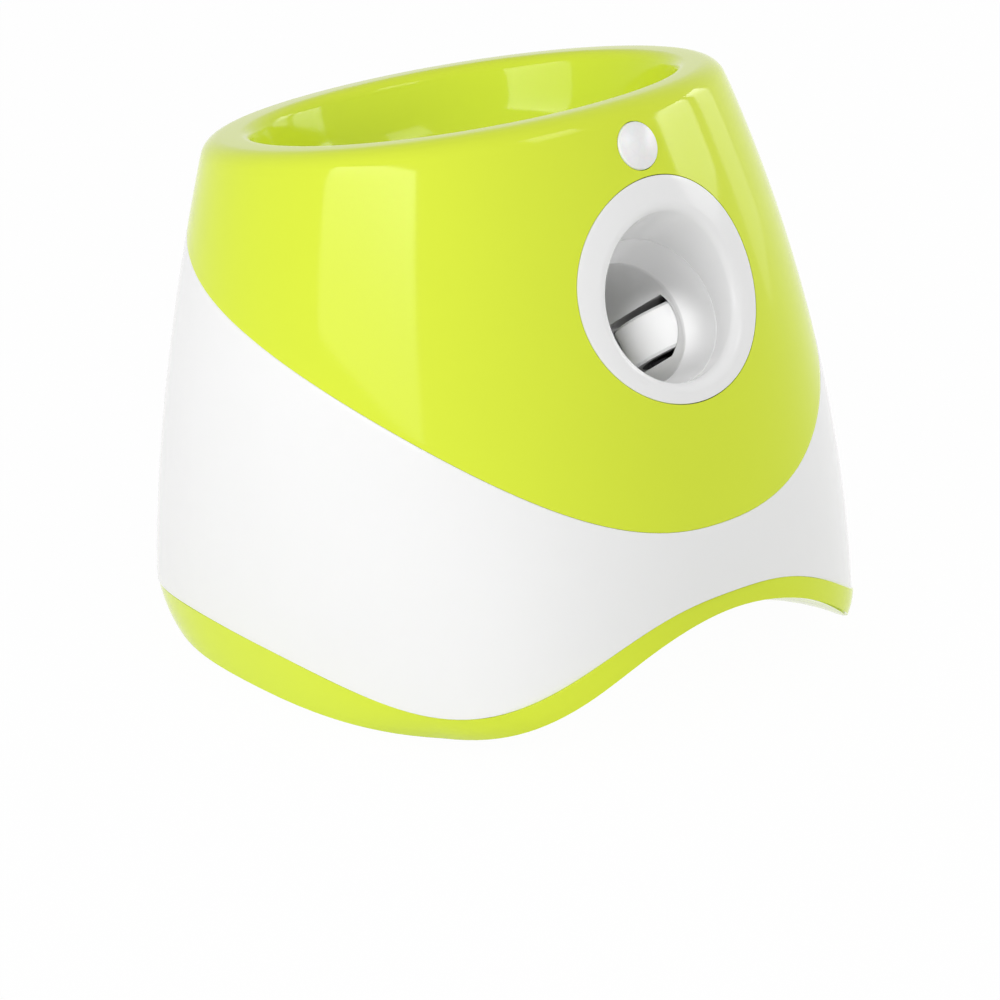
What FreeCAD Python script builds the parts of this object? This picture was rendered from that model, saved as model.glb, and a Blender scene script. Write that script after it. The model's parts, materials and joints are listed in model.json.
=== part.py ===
"""Automatic dog ball launcher: a funnel-topped housing with two tilted launch wheels.

Millimetres. +Z is up and the muzzle looks along -Y. The origin is on the floor, under
the middle of the base. The balls drop through the bowl's drain into a sloping feed
channel, wait at a motorised gate, roll to the pair of spinning wheels and leave through
the barrel and the bezel.
"""
import FreeCAD, Part
import math
import os

os.makedirs("parts", exist_ok=True)

V = FreeCAD.Vector

# ---------------------------------------------------------------- outer form
shoulder_height = 224.0         # height at which the shoulder sizes are given
half_width_floor = 123.2
half_width_waist = 129.7        # at half the shoulder height
half_width_shoulder = 104.5
half_length_floor = 143.8
half_length_waist = 129.2
half_length_shoulder = 98.9
lean_waist = 5.0                # how far the section's centre leans back
lean_shoulder = 18.7
squareness_floor = 2.56         # exponent of the rounded section, 2 is an ellipse
squareness_waist = 2.13
squareness_shoulder = 2.06
toe_tuck = 16.7                 # how far front and rear pull in at the floor
toe_height = 16.8
hull_top = 262.0
box_centre_y = 2.89             # middle of the overall length in the section's own coordinates

rim_height = 224.3              # rim plane over the origin
rim_fall = 0.231                # the rim plane falls this much for each mm backwards
rim_outer_round = 9.0
rim_inner_round = 7.0
lip_width = 22.0                # outer skin to the bowl's edge
shell_wall = 2.8
shell_gap = 0.3                 # joint line between two shells
lap_height = 5.0                # lip of one shell that stands inside the next
lap_wall = 1.8
lap_clearance = 0.12

drain_y = 34.0
drain_r = 29.0
drain_seat = 1.0                # flat step round the drain
drain_height = 165.0            # bowl floor round the drain
throat_height = 159.5           # lower end of the bowl's own throat
bowl_straight = 10.0            # upright part of the bowl's wall

# parting line between upper and middle shell: height at five places along Y
parting_reach = 140.0
parting_heights = (75.4, 123.9, 149.2, 165.5, 187.3)

# top edge of the base band: height at each 30 degrees from the front round to the rear
band_heights = (55.2, 34.3, 15.8, 22.6, 16.8, 10.8, 12.4)
arch_heights = (48.4, 40.5, 24.0, 9.0, 2.0)     # front arch at the widths below
arch_widths = (0.0, 40.0, 70.0, 94.0, 112.0)
skirt_clearance = 1.5           # base skirt above the floor
belly_height = 10.0
belly_wall = 2.6
vault_rear = -50.0              # the arched ceiling dies out here
vault_front = -136.0

# ---------------------------------------------------------------- ball and launch unit
ball_d = 50.0
ball_clearance = 0.9
launch_angle = 36.0             # elevation of the barrel's axis
muzzle_y = -88.3                # centre of the barrel's mouth
muzzle_z = 158.3
barrel_mouth_r = 30.5
barrel_length = 16.0
barrel_wall = 2.2
barrel_flange_r = 36.0
barrel_flange = 2.4
tunnel_r = 27.0                 # bore of launch housing and feed channel
tunnel_wall = 2.6
part_gap = 0.1                  # between pieces that are screwed face to face

wheel_r = 30.0
wheel_width = 20.0
wheel_drop = 3.0                # wheels' middle below the barrel's axis
wheel_setback = 41.0            # nip behind the barrel's mouth
nip_gap = 42.0                  # between the two tyres
wheel_side_gap = 2.2
wheel_rim_gap = 2.5
tyre_depth = 5.0
casing_wall = 2.6
shaft_r = 1.6
running_fit = 0.05
seat_fit = 0.02
motor_r = 18.0
motor_length = 46.0
motor_bore_depth = 6.0
bush_r = 4.0
bush_length = 5.0
screw_r = 1.5
screw_room = 0.2                # round a screw in a through hole
screw_head_r = 2.9
screw_head = 2.0
lug_r = 4.5
motor_head_r = 2.6              # low heads, sunk in the deck under the wheels
motor_head = 1.2
barrel_screw_ring = 32.0

# ---------------------------------------------------------------- bezel and sensor
bezel_y = -103.4
bezel_z = 172.6
bezel_angle = 26.4              # elevation of the bezel's normal
bezel_r = 45.1
bezel_wall = 2.8
bezel_mouth_r = 33.2
bezel_mouth_round = 4.5
bezel_depth = 24.0
bezel_lap = 4.0
lens_y = -79.5
lens_z = 225.0
lens_angle = 26.7
lens_r = 9.6
lens_rise = 2.4
lens_wall = 1.6
lens_boss = 3.0                 # wall of the collar round the lens
collar_depth = 7.5
sensor_depth = 13.0             # front face of the sensor's board, behind the skin
sensor_r = 4.6
sensor_post_x = 16.6

# ---------------------------------------------------------------- feed and gate
feed_slope = 8.0
feed_end = 104.0                # rear wall of the channel, from the ball's rest place
gate_x = 42.0
gate_open_angle = 70.0
finger_length = 30.0
finger_width = 7.0
finger_height = 8.0
gate_pin_r = 2.5
gate_hub_r = 7.0
gear_module = 0.8
sector_teeth = 45
pinion_teeth = 15
gear_width = 4.0
gear_backlash = 0.16
pressure_angle = 20.0
gearmotor_r = 10.0
gearmotor_length = 32.0
gear_shaft_r = 1.5
gearmotor_screw_y = 8.0
shelf_wall = 3.0

# ---------------------------------------------------------------- power and controls
cell_r = 13.1
cell_length = 50.0
cell_pitch = 27.4
box_wall = 2.0
box_y = 33.0                    # middle of the battery box
box_top = 46.0
spring_length = 7.4
door_travel = 14.0
door_wall = 2.3
panel_z = 100.0
panel_half = 36.0
panel_r = 16.0
panel_post_x = 32.0
button_r = 7.0
button_x = 20.0
button_travel = 1.5
button_gap = 0.2
board_wall = 1.6
socket_x = 34.0
socket_z = 42.0
frame_height = 62.0
frame_wall = 3.0
foot_r = 7.5
board_x = -62.0                 # driver board on the support frame
board_low_y = -30.0
board_width = 34.0
board_length = 84.0
board_rise = 4.0
socket_r = 6.0
socket_bore_r = 2.9
ear_r = 5.0


# ================================================================ helpers
def box(x0, y0, z0, x1, y1, z1):
    """A box between two corners."""
    return Part.makeBox(x1 - x0, y1 - y0, z1 - z0, V(x0, y0, z0))


def rod(radius, start, direction, length):
    """A cylinder from a point along a direction."""
    return Part.makeCylinder(radius, length, V(*start), V(*direction))


def pipe(outer, inner, start, direction, length):
    """A round tube."""
    return rod(outer, start, direction, length).cut(rod(inner, start, direction, length))


def upright_edges(shape):
    """Edges that run along Z."""
    found = []
    for edge in shape.Edges:
        ends = [v.Point for v in edge.Vertexes]
        if len(ends) == 2 and abs(ends[0].x - ends[1].x) + abs(ends[0].y - ends[1].y) < 1e-6:
            found.append(edge)
    return found


def slab(x0, y0, z0, x1, y1, z1, corner):
    """A box whose upright corners are rounded."""
    block = box(x0, y0, z0, x1, y1, z1)
    return block.makeFillet(corner, upright_edges(block))


def lathe(profile, start=(0, 0, 0), direction=(0, 0, 1)):
    """Turn a closed profile of (radius, distance along the axis) points."""
    points = [V(r, 0, h) for r, h in profile]
    face = Part.Face(Part.makePolygon(points + points[:1]))
    solid = face.revolve(V(0, 0, 0), V(0, 0, 1), 360)
    turn = FreeCAD.Rotation(V(0, 0, 1), V(*direction))
    solid.Placement = FreeCAD.Placement(V(*start), turn)
    return solid


def mirrored(shape):
    """The same piece on the other side of the middle plane."""
    return shape.mirror(V(0, 0, 0), V(1, 0, 0))


def group(shapes):
    """Separate solids of like pieces in one sub-part."""
    return Part.makeCompound(shapes)


def one(shapes):
    """Fuse pieces that are moulded as one."""
    whole = shapes[0].multiFuse(shapes[1:]) if len(shapes) > 1 else shapes[0]
    return whole.removeSplitter()


def export(shape, name):
    """Write one sub-part, with the overall box centred over the origin."""
    placed = shape.copy()
    placed.translate(V(0, -box_centre_y, 0))
    placed.exportStep("parts/" + name + ".step")


def through(z, floor, waist, shoulder):
    """Size at a height, on the parabola through floor, waist and shoulder."""
    t = z / shoulder_height
    return floor * (1 - t) * (1 - 2 * t) + waist * 4 * t * (1 - t) + shoulder * t * (2 * t - 1)


def signed_power(value, exponent):
    """Power that keeps the sign."""
    return math.copysign(abs(value) ** exponent, value)


def hull_point(angle, z, inset):
    """Point of the outer form; angle 0 is the front, 90 the flank."""
    tuck = toe_tuck * max(0.0, 1 - z / toe_height) ** 2
    half_width = through(z, half_width_floor, half_width_waist, half_width_shoulder) - inset
    half_length = through(z, half_length_floor, half_length_waist, half_length_shoulder)
    half_length -= tuck + inset
    power = 2 / through(z, squareness_floor, squareness_waist, squareness_shoulder)
    x = half_width * signed_power(math.sin(angle), power)
    y = through(z, 0, lean_waist, lean_shoulder) - half_length * signed_power(math.cos(angle), power)
    return V(x, y, z)


def rear_skin(x, z):
    """Y of the outer form's rear face at a width and height."""
    low, high = math.pi / 2, math.pi
    for _ in range(40):
        middle = (low + high) / 2
        if hull_point(middle, z, 0).x > abs(x):
            low = middle
        else:
            high = middle
    return hull_point(low, z, 0).y


section_points = 24
seam_angle = math.pi / 2        # the outlines start on the flank, away from every opening
turn_angles = [seam_angle + 2 * math.pi * (k + 0.5) / section_points for k in range(section_points)]


def closed_wire(points):
    """Smooth closed outline."""
    curve = Part.BSplineCurve()
    steps = [float(k) for k in range(len(points) + 1)]
    curve.interpolate(Points=points, PeriodicFlag=True, Parameters=steps)
    return Part.Wire(curve.toShape())


def hull(inset):
    """Solid of the outer form moved in by the inset; a smaller one reaches past both ends."""
    reach = 6.0 if inset > 0 else 0.0
    heights = [-reach, 6.0, toe_height, 45.0, 80.0, 112.0, 150.0, 190.0, shoulder_height]
    heights.append(hull_top + reach)
    wires = [closed_wire([hull_point(a, z, inset) for a in turn_angles]) for z in heights]
    return Part.makeLoft(wires, True, False)


def rim_z(y):
    """Height of the rim plane at a depth."""
    return rim_height - rim_fall * y


def rim_point(angle, inset, drop):
    """Point of the outer form on the rim plane, or on a plane a drop below it."""
    z = rim_height - drop
    for _ in range(12):
        z = rim_z(hull_point(angle, z, inset).y) - drop
    return hull_point(angle, z, inset)


def rim_half_space(drop):
    """Everything above the rim plane moved down by the drop."""
    block = box(-300, -300, 0, 300, 300, 200)
    block.rotate(V(0, 0, 0), V(1, 0, 0), -math.degrees(math.atan(rim_fall)))
    block.translate(V(0, 0, rim_height - drop))
    return block


def parting_region(shift):
    """Everything above the parting line of the upper shell, moved up by the shift."""
    step = parting_reach / 2
    line = [V(-200, step * (k - 2), h + shift) for k, h in enumerate(parting_heights)]
    curve = Part.BSplineCurve()
    curve.interpolate(line)
    first, last = line[0], line[-1]
    slope_in = (line[1] - line[0]).normalize() * 40
    slope_out = (line[-1] - line[-2]).normalize() * 40
    front, back = first - slope_in, last + slope_out
    edges = [curve.toShape(), Part.makeLine(last, back),
             Part.makeLine(back, V(-200, back.y, 400)),
             Part.makeLine(V(-200, back.y, 400), V(-200, front.y, 400)),
             Part.makeLine(V(-200, front.y, 400), front), Part.makeLine(front, first)]
    return Part.Face(Part.Wire(edges)).extrude(V(400, 0, 0))


def band_height(angle):
    """Height of the base band's top edge round the body."""
    count = len(band_heights) - 1
    total = 0.0
    for k in range(count + 1):
        weight = 0.5 if k in (0, count) else 1.0
        term = 0.0
        for j, height in enumerate(band_heights):
            share = 0.5 if j in (0, count) else 1.0
            term += share * height * math.cos(math.pi * k * j / count)
        total += weight * term * math.cos(k * angle) * 2 / count
    return total


def band_block(shift):
    """Space under the band's top edge, moved up by the shift, with a smooth wavy top."""
    reach_x, reach_y, count = 165.0, 180.0, 24
    rows = []
    for i in range(count + 1):
        row = []
        for j in range(count + 1):
            x = reach_x * (2 * i / count - 1)
            y = reach_y * (2 * j / count - 1)
            across = (abs(x) / half_width_floor) ** (squareness_floor / 2)
            ahead = math.copysign((abs(y) / half_length_floor) ** (squareness_floor / 2), -y)
            edge = min(1.0, math.hypot(across, ahead) / 0.7)
            share = edge * edge * (3 - 2 * edge)
            height = band_height(math.atan2(across, ahead))
            row.append(V(x, y, band_heights[3] + (height - band_heights[3]) * share + shift))
        rows.append(row)
    top = Part.BSplineSurface()
    top.interpolate(rows)
    return top.toShape().extrude(V(0, 0, -110))


# battery bay and door, from the cells outwards
box_half_x = 1.5 * cell_pitch + box_wall
box_half_y = cell_length + spring_length / 2 + 1.5 + box_wall
door_half_x = box_half_x + 1.0
door_half_y = box_half_y + 3.0
door_top = belly_height - 0.3
tab_length = 11.0
tab_reach = 3.0
tab_places = [box_y - door_half_y + 10.0, box_y + door_half_y - 34.0]
rail_wall = 2.0
foot_stem = 3.0
foot_stem_r = 3.0
foot_places = [(x, y) for x in (-80.0, 80.0) for y in (-38.0, 88.0)]
ear_places = [(x, box_y + y) for x in (-box_half_x - 6.0, box_half_x + 6.0) for y in (-18.0, 18.0)]


def door_window():
    """Opening of the belly under the battery box."""
    return box(-box_half_x + box_wall, box_y - box_half_y + box_wall, 0,
               box_half_x - box_wall, box_y + box_half_y - box_wall, belly_height + 5)


def door_rails():
    """Four short hooks under the belly that the door's tabs slide into."""
    rails = []
    for y in tab_places:
        for side in (-1, 1):
            wall_in = door_half_x + tab_reach + 0.4
            wall = box(min(side * wall_in, side * (wall_in + rail_wall)), y,
                       door_top - door_wall - rail_wall - 0.4,
                       max(side * wall_in, side * (wall_in + rail_wall)), y + tab_length, belly_height + 0.5)
            lip_in = door_half_x + 0.6
            lip = box(min(side * lip_in, side * (wall_in + rail_wall)), y,
                      door_top - door_wall - rail_wall - 0.4,
                      max(side * lip_in, side * (wall_in + rail_wall)), y + tab_length,
                      door_top - door_wall - 0.4)
            rails += [wall, lip]
    return rails


def battery_door():
    """Sliding cover with four tabs and a ribbed thumb grip."""
    low = door_top - door_wall
    plate = slab(-door_half_x, box_y - door_half_y, low, door_half_x, box_y + door_half_y, door_top, 4.0)
    tabs = []
    for y in tab_places:
        reach = door_half_x + tab_reach
        tabs.append(box(-reach, y + 0.3, low, reach, y + tab_length - 0.3, door_top))
    door = one([plate] + tabs)
    for k in range(5):
        y = box_y + door_half_y - 10 - 3.2 * k
        door = door.cut(box(-14, y, low - 1, 14, y + 1.6, low + 0.8))
    return door


def in_launch(shape):
    """From launch coordinates (X, backwards along the barrel, square to it) to the object."""
    shape.rotate(V(0, 0, 0), V(1, 0, 0), -launch_angle)
    shape.translate(V(0, muzzle_y, muzzle_z))
    return shape


def launch_place(s, u):
    """Object Y and Z of a point in the middle plane of the launch unit."""
    angle = math.radians(launch_angle)
    return (muzzle_y + s * math.cos(angle) + u * math.sin(angle),
            muzzle_z - s * math.sin(angle) + u * math.cos(angle))


wheel_x = nip_gap / 2 + wheel_r
wheel_low = -wheel_drop - wheel_width / 2
wheel_high = wheel_low + wheel_width
# behind the nip a resting ball touches both tyres
rest_setback = wheel_setback + math.sqrt((wheel_r + ball_d / 2) ** 2 - wheel_x ** 2)
rest_y, rest_z = launch_place(rest_setback, 0)


def in_feed(shape):
    """From feed coordinates (X, backwards along the channel, square to it) to the object."""
    shape.rotate(V(0, 0, 0), V(1, 0, 0), feed_slope)
    shape.translate(V(0, rest_y, rest_z))
    return shape


def behind_mitre(shift, reach=200):
    """Everything behind the plane where launch housing and feed channel meet."""
    block = box(-reach, 0, -300, reach, 400, 300)
    block.translate(V(0, shift, 0))
    block.rotate(V(0, 0, 0), V(1, 0, 0), (feed_slope - launch_angle) / 2)
    block.translate(V(0, rest_y, rest_z))
    return block


def screw(start, direction, length, radius=screw_r, head_r=screw_head_r, head=screw_head):
    """Pan-head screw; start is the seat of the head and direction points along the shank."""
    profile = [(0, -head), (head_r * 0.6, -head), (head_r, -head * 0.4), (head_r, 0),
               (radius, 0), (radius, length - radius), (0, length)]
    return lathe(profile, start, direction)


# ================================================================ shells
outer = hull(0)
inner = hull(shell_wall)
lap_outer = hull(shell_wall + lap_clearance)
lap_inner = hull(shell_wall + lap_clearance + lap_wall)
bezel_normal = (0, -math.cos(math.radians(bezel_angle)), math.sin(math.radians(bezel_angle)))
lens_normal = (0, -math.cos(math.radians(lens_angle)), math.sin(math.radians(lens_angle)))


def along(start, direction, distance):
    """Point at a distance along a direction."""
    return tuple(a + b * distance for a, b in zip(start, direction))


def bowl(offset):
    """Space inside the bowl's wall when the wall is moved out by the offset."""
    wires = [closed_wire([rim_point(a, lip_width - offset, -25) for a in turn_angles])]
    steps = 6
    for k in range(-1, steps + 1):
        turn = math.pi / 2 * max(k, 0) / steps
        ease = 1 - math.cos(turn)
        points = []
        for a in turn_angles:
            edge = rim_point(a, lip_width - offset, bowl_straight if k >= 0 else 0)
            away = drain_r + drain_seat + offset
            low = V(away * math.sin(a), drain_y - away * math.cos(a), drain_height - offset)
            x = edge.x + (low.x - edge.x) * ease
            y = edge.y + (low.y - edge.y) * ease
            z = edge.z + (low.z - edge.z) * math.sin(turn)
            points.append(V(x, y, z))
        wires.append(closed_wire(points))
    space = Part.makeLoft(wires, True, False)
    low = throat_height - (0 if offset else 30)
    drop = rod(drain_r + offset, (0, drain_y, low), (0, 0, 1), drain_height + 4 - low)
    return space.fuse(drop)


def rim_edges(body):
    """The shortest closed edge that lies in the rim plane."""
    found = []
    for edge in body.Edges:
        ends = [edge.valueAt(edge.FirstParameter + (edge.LastParameter - edge.FirstParameter) * t)
                for t in (0.1, 0.4, 0.8)]
        if edge.Length > 100 and all(abs(p.z - rim_z(p.y)) < 0.05 for p in ends):
            found.append(edge)
    return sorted(found, key=lambda e: e.Length)[:1]


def upper_shell():
    """Lime top: outer skirt, rounded rim, bowl and drain in one moulding."""
    block = outer.common(parting_region(shell_gap / 2)).cut(rim_half_space(0))
    block = block.makeFillet(rim_outer_round, rim_edges(block))
    skirt_space = inner.cut(rim_half_space(shell_wall)).cut(bowl(shell_wall))
    shell = block.cut(skirt_space).cut(bowl(0))
    shell = shell.makeFillet(rim_inner_round, rim_edges(shell))
    shell = shell.cut(rod(bezel_r, along((0, bezel_y, bezel_z), bezel_normal, -30), bezel_normal, 60))
    lens_seat = (0, lens_y, lens_z)
    collar = rod(lens_r + lens_boss, along(lens_seat, lens_normal, -collar_depth), lens_normal, 6.0)
    shell = shell.fuse(collar)
    for x in (-sensor_post_x, sensor_post_x):
        seat = along((x, lens_y, lens_z), lens_normal, -sensor_depth + part_gap)
        shell = shell.fuse(rod(screw_r + 1.7, seat, lens_normal, sensor_depth - shell_wall + 0.4))
        shell = shell.cut(rod(screw_r, seat, lens_normal, 7.0))
    return shell.cut(rod(lens_r + shell_gap, along(lens_seat, lens_normal, -20), lens_normal, 40))


def wall_between(outside, inside, region_parts, cuts):
    """Thin wall between two hulls, kept inside the regions and outside the cuts."""
    kept = outside
    for part in region_parts:
        kept = kept.common(part)
    for part in cuts:
        kept = kept.cut(part)
    return kept.cut(inside)


def half_space_above(z):
    """Everything above a height."""
    return box(-300, -300, z, 300, 300, z + 400)


panel_y = hull_point(math.pi, panel_z, 0).y
socket_y = rear_skin(socket_x, socket_z)
frame_posts = [(x, y) for x in (-58.0, 58.0) for y in (-78.0, 70.0)]
shell_posts = [(x, y) for x in (-97.0, 97.0) for y in (-42.0, 74.0)]
post_top = 64.0
base_post_top = 26.0


def oval(half, radius, y, depth):
    """Prism along Y with rounded ends, centred on the control panel."""
    middle = box(-half + radius, y, panel_z - radius, half - radius, y + depth, panel_z + radius)
    ends = [rod(radius, (x, y, panel_z), (0, 1, 0), depth) for x in (radius - half, half - radius)]
    return one([middle] + ends)


def middle_shell():
    """White body between the base band and the parting line, with its lap and four posts."""
    above = parting_region(-shell_gap / 2)
    wall = wall_between(outer, inner, [half_space_above(2.0)], [above, band_block(shell_gap)])
    lap_cut = parting_region(lap_height)
    lap = wall_between(lap_outer, lap_inner, [parting_region(-4.0)], [lap_cut])
    seat = wall_between(hull(shell_wall - 1.0), lap_inner, [parting_region(-4.0)], [above])
    muzzle_seat = along((0, bezel_y, bezel_z), bezel_normal, -40)
    muzzle = rod(bezel_r + bezel_lap + 2, muzzle_seat, bezel_normal, 80)
    shell = wall.fuse(seat.cut(muzzle)).fuse(lap.cut(muzzle))
    for x, y in shell_posts:
        post = rod(5.0, (x, y, base_post_top + part_gap), (0, 0, 1), post_top - base_post_top)
        web = box(min(x, x * 1.4), y - 1.2, base_post_top + 6, max(x, x * 1.4), y + 1.2, post_top - 4)
        post = post.fuse(web).common(hull(shell_wall - 1.0))
        pilot = rod(screw_r, (x, y, 0), (0, 0, 1), post_top - 6)
        shell = shell.fuse(post).cut(pilot)
    shell = shell.cut(oval(panel_half + shell_gap, panel_r + shell_gap, panel_y - 12, 30))
    return shell.cut(rod(socket_r + 0.15, (socket_x, socket_y - 20, socket_z), (0, 1, 0), 40))


def arch_face(y, share, lift):
    """Outline of the belly plate across the body; share 1 is the full front arch."""
    def level(height, above):
        """Height of the arch at this station."""
        return belly_height + (height - belly_height) * share + above
    reach = 135.0
    low = [V(-reach, y, level(arch_heights[-1], 0))]
    widths = [-w for w in reversed(arch_widths[1:])] + list(arch_widths)
    heights = list(reversed(arch_heights[1:])) + list(arch_heights)
    low += [V(w, y, level(h, 0)) for w, h in zip(widths, heights)]
    low.append(V(reach, y, level(arch_heights[-1], 0)))
    steps = [float(k) for k in range(len(low))]
    under, over = Part.BSplineCurve(), Part.BSplineCurve()
    under.interpolate(Points=low, Parameters=steps)
    high = [p + V(0, 0, lift) for p in low]
    over.interpolate(Points=high, Parameters=steps)
    sides = [Part.makeLine(low[-1], high[-1]), Part.makeLine(high[0], low[0])]
    return Part.Wire([under.toShape(), sides[0], over.toShape(), sides[1]])


def base_tray():
    """Lime base: outer band, front arch with its vaulted belly, posts and door rails."""
    band = outer.common(band_block(0)).common(half_space_above(skirt_clearance)).cut(inner)
    tunnel = Part.Face(arch_face(-160.0, 1.0, -60.0)).extrude(V(0, 130, 0))
    band = band.cut(tunnel)
    lap = lap_outer.common(band_block(lap_height)).common(half_space_above(belly_height)).cut(lap_inner)
    stations = [(vault_rear, 0.0), ((vault_rear + vault_front) / 2, 0.5), (vault_front, 1.0), (-155.0, 1.0)]
    vault = Part.makeLoft([arch_face(y, share, belly_wall) for y, share in stations], True, False)
    flat = box(-135, vault_rear - 0.5, belly_height, 135, 200, belly_height + belly_wall)
    belly = vault.fuse(flat)
    edge = belly.common(hull(shell_wall / 2)).common(band_block(0))
    tray = band.fuse(edge).fuse(belly.common(lap_outer)).fuse(lap.cut(tunnel))
    for x, y in frame_posts:
        low = belly_height + 1.0 if y > vault_rear else belly_height + 8.0
        tray = tray.fuse(rod(5.0, (x, y, low), (0, 0, 1), frame_height - part_gap - low))
        tray = tray.cut(rod(screw_r, (x, y, frame_height - 16), (0, 0, 1), 20))
    for x, y in shell_posts:
        tray = tray.fuse(rod(5.0, (x, y, belly_height + 1), (0, 0, 1), base_post_top - belly_height - 1))
        tray = tray.cut(rod(screw_r + 0.3, (x, y, 0), (0, 0, 1), 40))
        tray = tray.cut(rod(screw_head_r + 0.4, (x, y, 0), (0, 0, 1), base_post_top - 6))
    tray = tray.cut(door_window())
    tray = tray.multiFuse(door_rails())
    for x, y in ear_places:
        tray = tray.fuse(rod(ear_r - 1.0, (x, y, belly_height - 4), (0, 0, 1), 5))
        tray = tray.cut(rod(screw_r, (x, y, belly_height - 3), (0, 0, 1), 10))
    for x, y in foot_places:
        tray = tray.cut(rod(foot_stem_r + seat_fit, (x, y, belly_height - 1), (0, 0, 1), foot_stem))
    return tray


# ================================================================ bezel and sensor
def on_cone(edge, radius, flare):
    """True for an edge on the tapered mouth, ahead of the cone's small end."""
    angle = math.radians(launch_angle)
    span = edge.LastParameter - edge.FirstParameter
    for share in (0.1, 0.4, 0.8):
        point = edge.valueAt(edge.FirstParameter + span * share)
        y, z = point.y - muzzle_y, point.z - muzzle_z
        s = y * math.cos(angle) - z * math.sin(angle)
        u = y * math.sin(angle) + z * math.cos(angle)
        if s > -3 or abs(math.hypot(point.x, u) - radius + flare * s) > 0.02:
            return False
    return True


def nozzle_bezel():
    """White ring that follows the shell's curve, with its tapered cup and its lap flange."""
    start = (0, bezel_y, bezel_z)
    plug = rod(bezel_r - shell_gap, along(start, bezel_normal, -14), bezel_normal, 40)
    wide = rod(bezel_r + bezel_lap, along(start, bezel_normal, -18), bezel_normal, 40)
    face = outer.common(plug).cut(hull(bezel_wall + 0.2))
    lap = lap_outer.common(wide).cut(lap_inner)
    lens_seat = along((0, lens_y, lens_z), lens_normal, -30)
    lap = lap.cut(rod(lens_r + lens_boss + 0.4, lens_seat, lens_normal, 60))
    tube = in_launch(rod(bezel_mouth_r + bezel_wall, (0, -60, 0), (0, 1, 0), 60 - part_gap))
    cup = tube.common(hull(bezel_wall / 2))
    flare = (bezel_mouth_r - barrel_mouth_r - 0.3) / bezel_depth
    cone = Part.makeCone(barrel_mouth_r + 0.3 - flare, barrel_mouth_r + 0.3 + 2 * bezel_depth * flare,
                         2 * bezel_depth + 1, V(0, 1, 0), V(0, -1, 0))
    ring = face.fuse(lap).fuse(cup).cut(in_launch(cone))
    mouth = [e for e in ring.Edges if on_cone(e, barrel_mouth_r + 0.3, flare)]
    return ring.makeFillet(bezel_mouth_round, mouth)


def sensor_lens():
    """Domed window of the motion sensor: a cup with a flange behind the shell's collar."""
    start = (0, lens_y, lens_z)
    back = -collar_depth - part_gap - 1.4
    dome_r = (lens_r ** 2 + lens_rise ** 2) / (2 * lens_rise)
    ball = Part.makeSphere(dome_r, V(*along(start, lens_normal, lens_rise - dome_r + 0.4)))
    body = rod(lens_r, along(start, lens_normal, back), lens_normal, 20).common(ball)
    tube = rod(lens_r, along(start, lens_normal, back), lens_normal, -back - 1.0)
    flange = rod(lens_r + lens_boss, along(start, lens_normal, back), lens_normal, 1.4)
    hollow = rod(lens_r - lens_wall, along(start, lens_normal, back - 1), lens_normal, -back - 0.6)
    return one([body, tube, flange]).cut(hollow)


def pir_sensor():
    """Metal can of the motion detector on its board."""
    start = along((0, lens_y, lens_z), lens_normal, -sensor_depth + part_gap)
    can = rod(sensor_r, start, lens_normal, 4.2)
    base = rod(sensor_r + 0.6, start, lens_normal, 0.7)
    return one([can, base])


def sensor_circuit_board():
    """Narrow board behind the lens, screwed to two posts of the upper shell."""
    half = sensor_post_x + 4.0
    board = slab(-half, -8, 0, half, 8, board_wall, 2.0)
    for x in (-sensor_post_x, sensor_post_x):
        board = board.cut(rod(screw_r + screw_room, (x, 0, -1), (0, 0, 1), 5))
    board.rotate(V(0, 0, 0), V(1, 0, 0), 90 - lens_angle)
    board.translate(V(*along((0, lens_y, lens_z), lens_normal, -sensor_depth - board_wall)))
    return board


def sensor_screws():
    """Two screws that hold the sensor board."""
    screws = []
    for x in (-sensor_post_x, sensor_post_x):
        seat = along((x, lens_y, lens_z), lens_normal, -sensor_depth - board_wall)
        screws.append(screw(seat, lens_normal, 7.5))
    return group(screws)


# ================================================================ launch unit
def tunnel(radius, s0, s1):
    """Cylinder on the barrel's axis, in launch coordinates."""
    return rod(radius, (0, s0, 0), (0, 1, 0), s1 - s0)


def both(shape):
    """A piece and its twin on the other side."""
    return [shape, mirrored(shape)]


tunnel_start = barrel_length + part_gap
tunnel_end = rest_setback + 12
pocket_r = wheel_r + wheel_rim_gap
casing_r = pocket_r + casing_wall
deck_top = wheel_low - wheel_side_gap
roof_low = wheel_high + wheel_side_gap
deck_low = deck_top - casing_wall
roof_top = roof_low + casing_wall
lug_reach = casing_r + 2.4
lug_places = [wheel_setback - lug_reach, wheel_setback + lug_reach]
motor_screw_pitch = 25.0
barrel_screw_half = barrel_screw_ring / math.sqrt(2)
barrel_screw_places = [(x, u) for x in (-barrel_screw_half, barrel_screw_half)
                       for u in (-barrel_screw_half, barrel_screw_half)]


def launch_barrel():
    """Flared tube that leads the ball from the wheels to the bezel."""
    bore = ball_d / 2 + ball_clearance
    seat = barrel_length - barrel_flange
    profile = [(barrel_mouth_r, 0), (barrel_mouth_r + barrel_wall, 0),
               (bore + barrel_wall, barrel_length * 0.75), (bore + barrel_wall, seat), (barrel_flange_r, seat),
               (barrel_flange_r, barrel_length), (bore, barrel_length), (bore, barrel_length * 0.9)]
    tube = lathe(profile, (0, 0, 0), (0, 1, 0))
    for x, u in barrel_screw_places:
        tube = tube.cut(rod(screw_r + screw_room, (x, barrel_length - 5, u), (0, 1, 0), 10))
    for pocket in both(rod(casing_r + 0.3, (wheel_x, wheel_setback, deck_low - 0.3), (0, 0, 1),
                           roof_top - deck_low + 0.6)):
        tube = tube.cut(pocket)
    return in_launch(tube)


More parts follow.
